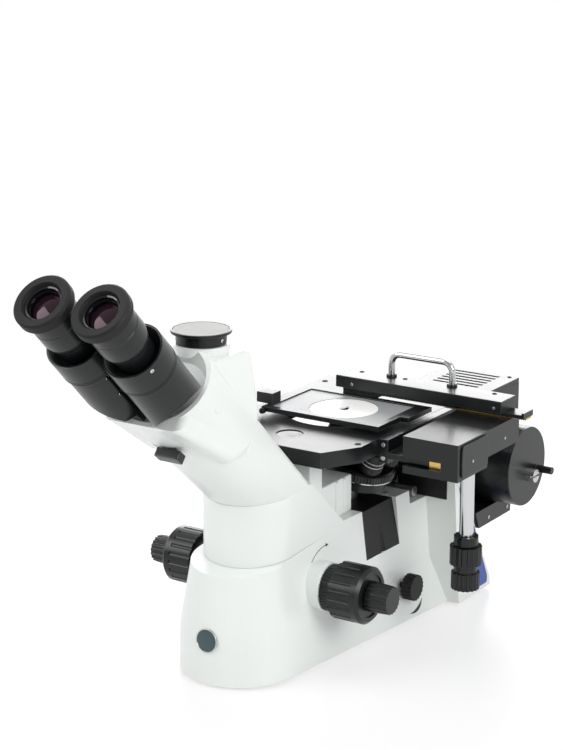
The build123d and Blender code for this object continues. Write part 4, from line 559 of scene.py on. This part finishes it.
for number, (length, colour) in enumerate(zip(OBJECTIVE_LENGTHS, RING_COLOURS)):
    angle = radians(360 / len(OBJECTIVE_LENGTHS) * number)
    circle = OBJECTIVE_CIRCLE / cos(turret_tilt)
    foot = Vector((-circle * cos(angle), circle * sin(angle), 0))
    lean = Vector((-sin(turret_tilt) * cos(angle), sin(turret_tilt) * sin(angle), cos(turret_tilt)))
    barrel = turret_level @ stand_on(foot, lean)
    step, band = STEP_SHARE * length, BAND_SHARE * length
    edge_profile = [(11.7, step - 0.7), (12.25, step - 0.7), (12.25, step - 0.1), (11.9, step + 0.25),
                    (11.7, step - 0.7)]
    lens_profile = [(0, length - 0.6), (3.6, length - 0.6), (3.6, length + 0.05), (2.0, length + 0.3),
                    (0, length + 0.4)]
    band_profile = [(11.8, band), (12.18, band), (12.18, band + BAND_WIDTH), (11.8, band + BAND_WIDTH),
                    (11.8, band)]
    knurl = ribbed_ring(inner=11.6, outer=12.5, depth=0.35, low=5.5, high=11.5, count=40)
    put(knurls, knurl, barrel)
    knurl.free()
    for target, profile in ((edges, edge_profile), (lenses, lens_profile)):
        shape = spun(profile, steps=40)
        put(target, shape, barrel)
        shape.free()
    ring_paint = finish(f"ring_paint_{number}", colour, tuple(BAND_SHADE * c for c in colour), colour,
                        grain=900.0, depth=0.02, rough=(0.35, 0.45))
    turned(f"objective_ring_{number}", band_profile, [barrel], ring_paint, "turret", steps=48)
fit("objective_knurls", knurls, black_anodised, "turret", sharp=20)
fit("objective_edges", edges, satin_nickel, "turret")
fit("objective_lenses", lenses, coated_lens, "turret")

# Focus drive: moulded black knobs with deep grip flutes on two coaxial shafts, the
# tension ring beside the right boss and the rubber-faced lamp intensity knob.
for knob in ("coarse_knob_right", "coarse_knob_left", "fine_knob_right", "fine_knob_left", "tension_ring"):
    skin(knob, black_plastic, edge=0.0008)
skin("intensity_knob", black_rubber, edge=0.0008)

# Head: the white trinocular casting with small plugs over its screw holes, the
# black photo port with its pale cap and set screw, and the light path lever.
TOWER_BACK = -0.208
TOWER_TOP = 0.329
TOWER_ROUND = 0.011
TOWER_SLACK = 1e-5


def round_tower(shell):
    """Rounds the edge between the top and the back of the head's tower, in metres."""
    centre_y, centre_z = TOWER_BACK - TOWER_ROUND, TOWER_TOP - TOWER_ROUND
    for angle in range(0, 91, 10):
        reach = TOWER_ROUND * sin(radians(angle))
        for place, normal in (((0, centre_y + reach, 0), (0, 1, 0)), ((0, 0, centre_z + reach), UP)):
            near = [f for f in shell.faces if max(v.co.y for v in f.verts) > centre_y
                    and centre_z < max(v.co.z for v in f.verts) < TOWER_TOP + TOWER_SLACK]
            near_edges = list({e for f in near for e in f.edges})
            near_verts = list({v for f in near for v in f.verts})
            bmesh.ops.bisect_plane(shell, geom=near + near_edges + near_verts, plane_co=place,
                                   plane_no=normal, dist=1e-6)
    for vert in shell.verts:
        arm = Vector((vert.co.y - centre_y, vert.co.z - centre_z))
        if min(arm) > 0 and arm.length > TOWER_ROUND and vert.co.z < TOWER_TOP + TOWER_SLACK:
            arm *= TOWER_ROUND / arm.length
            vert.co.yz = centre_y + arm.x, centre_z + arm.y


pale_cap = finish("pale_cap", (0.42, 0.42, 0.41), (0.38, 0.38, 0.37), (0.45, 0.45, 0.44),
                  grain=1800.0, depth=0.05, rough=(0.5, 0.6), specular=0.25)
skin("head_housing", white_enamel, edge=0.0015, shape=round_tower)
skin("port_adapter", black_anodised)
skin("port_cap", pale_cap)
skin("path_lever", black_plastic, edge=0.001)
PLUGS = (((48.2, -282.3, 292.2), (0.998, -0.038, -0.052)),
         ((47.2, -231.9, 240.2), (0.983, -0.115, -0.144)))
plug_profile = [(0, 0.35), (4.4, 0.35), (4.9, 0.1), (4.9, -1.5), (0, -1.5)]
plug_places = [stand_on((side * x, y, z), (side * nx, ny, nz))
               for (x, y, z), (nx, ny, nz) in PLUGS for side in SIDES]
turned("head_plugs", plug_profile, plug_places, white_enamel, "stand", steps=40)
ADAPTER_SCREW = (23.3, -240.9, 342.0)
socket_screws("adapter_screw", [(ADAPTER_SCREW, RIGHT)], bright_chrome, "stand",
              radius=1.7, height=0.7)

# Binocular: two prism houses on one hinge pin, funnel rings, turned eyepieces,
# rubber eyecups and coated lenses. Chromed set screws hold the rings, and two more
# close the flat inner side of the left house.
for node in ("bino_hub", "prism_house_right", "prism_house_left", "tube_ring_right", "tube_ring_left",
             "eyepiece_right", "eyepiece_left"):
    skin(node, black_anodised)
for node in ("eyecup_right", "eyecup_left"):
    skin(node, black_rubber)
gloss_black = finish("gloss_black", (0.006, 0.006, 0.007), (0.004, 0.004, 0.005), (0.02, 0.02, 0.02),
                     grain=900.0, depth=0.0, rough=(0.08, 0.14))
black_oxide = finish("black_oxide", (0.005, 0.005, 0.005), (0.004, 0.004, 0.004), (0.01, 0.01, 0.01),
                     grain=1500.0, depth=0.05, rough=(0.5, 0.6), specular=0.15)
EYE_AXIS = Vector((0, -0.70711, 0.70711))
EYE_RISE = Vector((0, 0.70711, 0.70711))
HINGE_Y, HINGE_Z = -413, 425
EYE_X = 30.5
EYE_DROP = 22


def on_eye(side, distance):
    """Place on one eyepiece tube, a distance back from the eye."""
    point = Vector((side * EYE_X, HINGE_Y, HINGE_Z)) - EYE_DROP * EYE_RISE - distance * EYE_AXIS
    return stand_on(point, EYE_AXIS)


LENS_BACK = 15
LENS_R = 16.6
LENS_RISE = 5.0
LENS_WALL = 1.6
BEZEL_BACK = 10
GROOVES_BACK = (88.2, 90.6)
lens_dome = [(LENS_R * sin(radians(a)), LENS_WALL + (LENS_RISE - LENS_WALL) * cos(radians(a)))
             for a in range(90, -1, -6)]
eye_bezel = [(16.9, 0.2), (16.9, 5.8), (15.6, 5.2), (14.4, 1.2), (14.4, 0.2), (16.9, 0.2)]
ring_groove = [(27.6, 0), (28.12, 0), (28.12, 0.5), (27.6, 0.5), (27.6, 0)]
for side, hand in ((1, "right"), (-1, "left")):
    eye_body = frame["nodes"][f"eye_lens_{hand}"]["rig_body"]
    ring_body = frame["nodes"][f"tube_ring_{hand}"]["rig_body"]
    lens_piece = turned(f"eye_dome_{hand}", [(0, 0), (LENS_R, 0), *lens_dome], [on_eye(side, LENS_BACK)],
                        coated_lens, eye_body, steps=72)
    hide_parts(f"eye_lens_{hand}")
    turned(f"eye_bezel_{hand}", eye_bezel, [on_eye(side, BEZEL_BACK)],
           gloss_black, eye_body, steps=72)
    turned(f"ring_grooves_{hand}", ring_groove, [on_eye(side, distance) for distance in GROOVES_BACK],
           black_oxide, ring_body, steps=72)
RIGHT_SET_SCREW = ((55.1, -390.1, 352.5), (0.873, -0.345, -0.345))
DIOPTRE_SET_SCREW = ((-24.5, -393.8, 342.4), (0.214, -0.69, -0.69))
LEFT_SET_SCREWS = (((-6.6, -371.0, 333.0), RIGHT), ((-6.6, -353.0, 315.0), RIGHT))
socket_screws("right_set_screw", [RIGHT_SET_SCREW], bright_chrome, "right_arm",
              radius=1.9, height=0.7)
socket_screws("dioptre_set_screw", [DIOPTRE_SET_SCREW], bright_chrome, "dioptre_ring",
              radius=1.9, height=0.7)
socket_screws("left_set_screws", LEFT_SET_SCREWS, bright_chrome, "left_arm",
              radius=1.9, height=0.6)

# Stage: thick black anodised plate on the posts, held by socket screws, with a white
# nylon bush in its front hole, the side rail on brackets and the brass rack.
FRONT = (0, -1, 0)
TOOTH_PITCH = 2.0
TOOTH_DEPTH = 0.8


def toothed_strip(node, surface, run, face, outward):
    """A rack: the solid's own bar with teeth cut into one face along its run."""
    low, high = (Vector(corner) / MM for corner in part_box(node))
    bar = bmesh.new()
    add_block(bar, high - low, (low + high) / 2)
    along = [e for e in bar.edges if abs(e.verts[0].co[run] - e.verts[1].co[run]) > 1]
    quarter = TOOTH_PITCH / 4
    steps = int((high[run] - low[run]) / quarter)
    bmesh.ops.subdivide_edges(bar, edges=along, cuts=steps - 1, use_grid_fill=True)
    edge_at = high[face] if outward > 0 else low[face]
    for vert in bar.verts:
        in_gap = round((vert.co[run] - low[run]) / quarter) % 4 in (2, 3)
        if in_gap and abs(vert.co[face] - edge_at) < 0.01:
            vert.co[face] -= outward * TOOTH_DEPTH
    piece = fit(node + "_teeth", bar, surface, frame["nodes"][node]["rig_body"], sharp=20)
    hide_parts(node)


milled_brass = finish("milled_brass", (0.72, 0.50, 0.18), (0.62, 0.42, 0.14), (0.8, 0.6, 0.28),
                      grain=1800.0, depth=0.08, rough=(0.22, 0.34), metallic=1.0)
skin("stage_plate", black_anodised, edge=0.0012)
white_nylon = finish("white_nylon", (0.86, 0.86, 0.85), (0.82, 0.82, 0.81), (0.88, 0.88, 0.87),
                     grain=1600.0, depth=0.05, rough=(0.35, 0.45))
HOLE_Y = -92
hole_bush = [(13.4, -16), (13.4, -1.6), (12.8, -1.6), (12.8, -16), (13.4, -16)]
stage_top = high_side("stage_plate", Z)
turned("hole_bush", hole_bush, [stand_on((0, HOLE_Y, stage_top), UP)], white_nylon, "stand",
       steps=72)
skin("side_rail", black_anodised)
toothed_strip("y_rack", milled_brass, run=Y, face=X, outward=1)
STAGE_SCREWS = ((74.5, -87.0), (72.8, 90.0))
SCREW_SUNK = 0.1
socket_screws("stage_screws",
              [((side * x, y, stage_top - SCREW_SUNK), UP) for x, y in STAGE_SCREWS for side in SIDES],
              black_oxide, "stand", radius=3.2, height=0.5)
BRACKET_X = 87
BRACKET_Z = (195, 208.5)
rail_front = low_side("side_rail", Y)
socket_screws("bracket_screws", [((BRACKET_X, rail_front + SCREW_SUNK, z), FRONT) for z in BRACKET_Z],
              satin_nickel, "stand", radius=2.2, height=1.2)

# Carriage: the black block of the Y guide, its side cover, the chromed drive tube,
# the clamp collar and the two coaxial knobs of moulded plastic.
skin("y_carriage", black_anodised, edge=0.0012)
skin("carriage_cover", black_anodised, edge=0.0008)
skin("drive_tube", bright_chrome)
skin("drive_collar", black_anodised)
skin("y_knob", black_plastic, edge=0.0008)
skin("x_knob", black_plastic, edge=0.0008)
COVER_SCREW = (high_side("carriage_cover", X), -39.4, 201.6)
BLOCK_SCREW = (high_side("y_carriage", X), 30.1, 206.5)
socket_screws("carriage_screws", [(COVER_SCREW, RIGHT), (BLOCK_SCREW, RIGHT)],
              satin_nickel, "carriage", radius=1.5, height=0.5)

# Cross slide: rail with its brass rack, bar and the bent chrome handle on black
# feet, with dark screws on top and small ones in front.
skin("x_rail", black_anodised, edge=0.0005)
toothed_strip("x_rack", milled_brass, run=X, face=Z, outward=-1)
skin("x_bar", black_anodised, edge=0.0008)
HANDLE_X = (27.0, 97.0)
HANDLE_Y = 58.0
HANDLE_R = 3.4
HANDLE_RISE = 24.0
HANDLE_BEND = 10.0
BEND_STEPS = 12
bar_top = high_side("x_bar", Z)
course = [Vector((HANDLE_X[0], HANDLE_Y, bar_top))]
for start, centre in ((180, HANDLE_X[0] + HANDLE_BEND), (90, HANDLE_X[1] - HANDLE_BEND)):
    for step in range(BEND_STEPS + 1):
        turn = radians(start - 90 / BEND_STEPS * step)
        course.append(Vector((centre + HANDLE_BEND * cos(turn), HANDLE_Y,
                              bar_top + HANDLE_RISE - HANDLE_BEND + HANDLE_BEND * sin(turn))))
course.append(Vector((HANDLE_X[1], HANDLE_Y, bar_top)))
beyond = course[-1] * 2 - course[-2]
rod = bmesh.new()
bmesh.ops.create_circle(rod, cap_ends=True, segments=32, radius=HANDLE_R, matrix=stand_on(course[0], UP))
rim = rod.edges[:]
for first, second, third in zip(course, course[1:], course[2:] + [beyond]):
    drawn = bmesh.ops.extrude_edge_only(rod, edges=rim)["geom"]
    ring = verts_in(drawn)
    run = (second - first).normalized()
    mitre = (run + (third - second).normalized()).normalized()
    for vert in ring:
        vert.co += run * ((second - vert.co).dot(mitre) / run.dot(mitre))
    rim = edges_among(drawn, ring)
bmesh.ops.contextual_create(rod, geom=rim)
handle = fit("bar_handle_rod", rod, bright_chrome, "cross_slide")
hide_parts("bar_handle")
handle_foot = [(3.3, 0), (5.4, 0), (5.4, 1.6), (4.6, 2.6), (3.3, 2.6), (3.3, 0)]
turned("handle_feet", handle_foot, [stand_on((x, HANDLE_Y, bar_top), UP) for x in HANDLE_X],
       black_plastic, "cross_slide", steps=40)
BAR_SCREW_X = (-7, 44, 146)
BAR_SCREW_Y = 56
FLAT_SCREW_SUNK = 0.05
socket_screws("bar_screws", [((x, BAR_SCREW_Y, bar_top - FLAT_SCREW_SUNK), UP) for x in BAR_SCREW_X],
              black_oxide, "cross_slide", radius=2.6, height=0.45)
BAR_FRONT_X = (-4.5, 158)
BAR_FRONT_Z = 234
bar_front = low_side("x_bar", Y)
socket_screws("bar_front_screws", [((x, bar_front, BAR_FRONT_Z), FRONT) for x in BAR_FRONT_X],
              satin_nickel, "cross_slide", radius=1.5, height=0.4)

# Specimen holder: a black frame with a grey sheet in its pocket, painted as the
# reflection on the pocket floor, a white insert disc in its seat, and the small
# clamp block with a knurled thumb screw.
skin("specimen_holder", black_anodised, edge=0.0004)
skin("insert_disc", white_nylon, edge=0.0003)
pocket_reflection_paint = finish("pocket_reflection_paint", (0.30, 0.31, 0.315), (0.27, 0.28, 0.285), (0.35, 0.36, 0.36),
                    grain=2200.0, depth=0.05, rough=(0.34, 0.42), stretch=(0.05, 1, 1), specular=0.3)
# Grey sheet over the black pocket floor: painted reflection.
POCKET_REFLECTION_CORNERS = ((-51.6, -45.6), (69.6, -45.6), (69.6, 29.6), (-51.6, 29.6))
POCKET_REFLECTION_HOLE = (12.3, -10.9)
POCKET_REFLECTION_HOLE_R = 34.9
POCKET_REFLECTION_Z = 221.45
POCKET_REFLECTION_THICK = 0.35
pocket_reflection = bmesh.new()
bmesh.ops.create_circle(pocket_reflection, segments=96, radius=POCKET_REFLECTION_HOLE_R,
                        matrix=Matrix.Translation((*POCKET_REFLECTION_HOLE, POCKET_REFLECTION_Z)))
corners = [pocket_reflection.verts.new((x, y, POCKET_REFLECTION_Z)) for x, y in POCKET_REFLECTION_CORNERS]
for first, second in zip(corners, corners[1:] + corners[:1]):
    pocket_reflection.edges.new((first, second))
bmesh.ops.triangle_fill(pocket_reflection, edges=pocket_reflection.edges[:], use_beauty=True)
raised = bmesh.ops.extrude_face_region(pocket_reflection, geom=pocket_reflection.faces[:])["geom"]
bmesh.ops.translate(pocket_reflection, verts=verts_in(raised), vec=(0, 0, POCKET_REFLECTION_THICK))
fit("holder_pocket_reflection", pocket_reflection, pocket_reflection_paint, "cross_slide")
skin("holder_clamp", black_anodised)
THUMB_SCREW = (-56, -52.9, 219.2)
thumb = ribbed_ring(inner=0.4, outer=3.0, depth=0.35, low=0.0, high=4.5, count=16)
bmesh.ops.transform(thumb, matrix=stand_on(THUMB_SCREW, FRONT), verts=thumb.verts)
fit("clamp_thumb_screw", thumb, black_plastic, "cross_slide", sharp=20)

# Lamp: black drum on the beam behind the column, with its door, the sheet house and
# the slotted lid, all held by small screws.
for node in ("lamp_beam", "lamp_drum", "lamp_end_cover", "lamp_house", "lamp_vent_cover"):
    skin(node, black_anodised)
skin("lamp_cover_knob", satin_nickel)
skin("halogen_lamp", satin_nickel)
LID_SCREW_X = (17, 89)
LID_SCREW_Y = (132, 200)
BEAM_SCREW_Y = (140, 182)
BEAM_SCREW_Z = 80
lid_top = high_side("lamp_vent_cover", Z)
beam_flank = high_side("lamp_beam", X)
socket_screws("lid_screws",
              [((x, y, lid_top - FLAT_SCREW_SUNK), UP) for x in LID_SCREW_X for y in LID_SCREW_Y],
              black_oxide, "stand", radius=2.4, height=0.5)
socket_screws("beam_screws", [((beam_flank, y, BEAM_SCREW_Z), RIGHT) for y in BEAM_SCREW_Y],
              satin_nickel, "stand", radius=2.0, height=0.6)

# Studio: a plain pale floor, soft light from the left, the right, above and behind,
# and the camera at the photographed angle.
floor_shell = bmesh.new()
bmesh.ops.create_grid(floor_shell, x_segments=1, y_segments=1, size=12.0)
floor_mesh = bpy.data.meshes.new("studio_floor")
floor_shell.to_mesh(floor_mesh)
floor_shell.free()
floor = bpy.data.objects.new("studio_floor", floor_mesh)
bpy.context.scene.collection.objects.link(floor)
paper = bpy.data.materials.new("floor_paper")
paper.use_nodes = True
floor_mesh.materials.append(paper)


def seen_mask(nodes, links, mirrored=None):
    """One for rays that show the background: straight, mirrored (all or a share) or through glass."""
    path = nodes.new("ShaderNodeLightPath")
    gloss = path.outputs["Is Glossy Ray"]
    if mirrored:
        share = nodes.new("ShaderNodeMath")
        share.operation = "MULTIPLY"
        links.new(gloss, share.inputs[0])
        links.new(mirrored, share.inputs[1])
        gloss = share.outputs["Value"]
    first, second = nodes.new("ShaderNodeMath"), nodes.new("ShaderNodeMath")
    first.operation = second.operation = "MAXIMUM"
    links.new(path.outputs["Is Camera Ray"], first.inputs[0])
    links.new(gloss, first.inputs[1])
    links.new(first.outputs["Value"], second.inputs[0])
    links.new(path.outputs["Is Transmission Ray"], second.inputs[1])
    return second.outputs["Value"]


paper_nodes, paper_links = paper.node_tree.nodes, paper.node_tree.links
sheet = paper_nodes["Principled BSDF"]
sheet.inputs["Base Color"].default_value = (0.9, 0.9, 0.9, 1)
sheet.inputs["Roughness"].default_value = 0.3
sheet.inputs["Specular IOR Level"].default_value = 0.3
white = paper_nodes.new("ShaderNodeEmission")
blend = paper_nodes.new("ShaderNodeMixShader")
spot = paper_nodes.new("ShaderNodeTexCoord")
reach = paper_nodes.new("ShaderNodeVectorMath")
reach.operation = "LENGTH"
fade = paper_nodes.new("ShaderNodeMapRange")
fade.inputs["From Min"].default_value = 0.35
fade.inputs["From Max"].default_value = 1.1
fade.inputs["To Min"].default_value = 0.62
both = paper_nodes.new("ShaderNodeMath")
both.operation = "MULTIPLY"
paper_links.new(spot.outputs["Object"], reach.inputs[0])
paper_links.new(reach.outputs["Value"], fade.inputs["Value"])
paper_links.new(fade.outputs["Result"], both.inputs[0])
paper_links.new(seen_mask(paper_nodes, paper_links), both.inputs[1])
paper_links.new(both.outputs["Value"], blend.inputs["Fac"])
paper_links.new(sheet.outputs["BSDF"], blend.inputs[1])
paper_links.new(white.outputs["Emission"], blend.inputs[2])
paper_links.new(blend.outputs["Shader"], paper_nodes["Material Output"].inputs["Surface"])

world = bpy.data.worlds.new("studio_air")
bpy.context.scene.world = world
world.use_nodes = True
sky_nodes, sky_links = world.node_tree.nodes, world.node_tree.links
backdrop = sky_nodes["Background"]
backdrop.inputs["Color"].default_value = (1, 1, 1, 1)
level = sky_nodes.new("ShaderNodeMapRange")
level.inputs["To Min"].default_value = 0.42
level.inputs["To Max"].default_value = 1.0
heading, facing = sky_nodes.new("ShaderNodeTexCoord"), sky_nodes.new("ShaderNodeVectorMath")
facing.operation = "DOT_PRODUCT"
facing.inputs[1].default_value = (-0.5, 0.85, 0.15)
rear_wall = sky_nodes.new("ShaderNodeMapRange")
rear_wall.inputs["From Min"].default_value = -0.35
rear_wall.inputs["From Max"].default_value = 0.5
sky_links.new(heading.outputs["Generated"], facing.inputs[0])
sky_links.new(facing.outputs["Value"], rear_wall.inputs["Value"])
sky_links.new(seen_mask(sky_nodes, sky_links, rear_wall.outputs["Result"]), level.inputs["Value"])
sky_links.new(level.outputs["Result"], backdrop.inputs["Strength"])


def softbox(name, place, aim, power, width, height):
    """A soft area lamp that looks at a point."""
    lamp = bpy.data.lights.new(name, "AREA")
    lamp.shape = "RECTANGLE"
    lamp.energy = power
    lamp.size = width
    lamp.size_y = height
    holder = bpy.data.objects.new(name, lamp)
    holder.location = place
    holder.rotation_euler = (Vector(aim) - Vector(place)).to_track_quat("-Z", "Y").to_euler()
    bpy.context.scene.collection.objects.link(holder)


MIDDLE = (0, 0, 0.2)
softbox("key_left", (-1.3, -1.5, 1.5), (0, -0.1, 0.2), power=24, width=1.2, height=1.2)
softbox("fill_right", (1.7, -0.7, 1.1), MIDDLE, power=21, width=1.0, height=1.0)
softbox("top_soft", (0.2, 0.3, 2.0), MIDDLE, power=11, width=1.6, height=1.6)
softbox("back_panel", (-1.55, 2.4, 1.0), MIDDLE, power=34, width=2.2, height=1.1)

CAMERA_PLACE = (1.1116, -1.8184, 0.8307)
lens = bpy.data.cameras.new("photo_camera")
lens.lens = 105.6
lens.sensor_width = 36.0
camera = bpy.data.objects.new("photo_camera", lens)
across = Vector((0.83867, 0.54464, 0))
upward = Vector((-0.14280, 0.21989, 0.96502))
turned_to = Matrix((across, upward, across.cross(upward))).transposed()
camera.matrix_world = Matrix.Translation(CAMERA_PLACE) @ turned_to.to_4x4()
bpy.context.scene.collection.objects.link(camera)
bpy.context.scene.camera = camera
bpy.context.scene.view_settings.view_transform = "Standard"
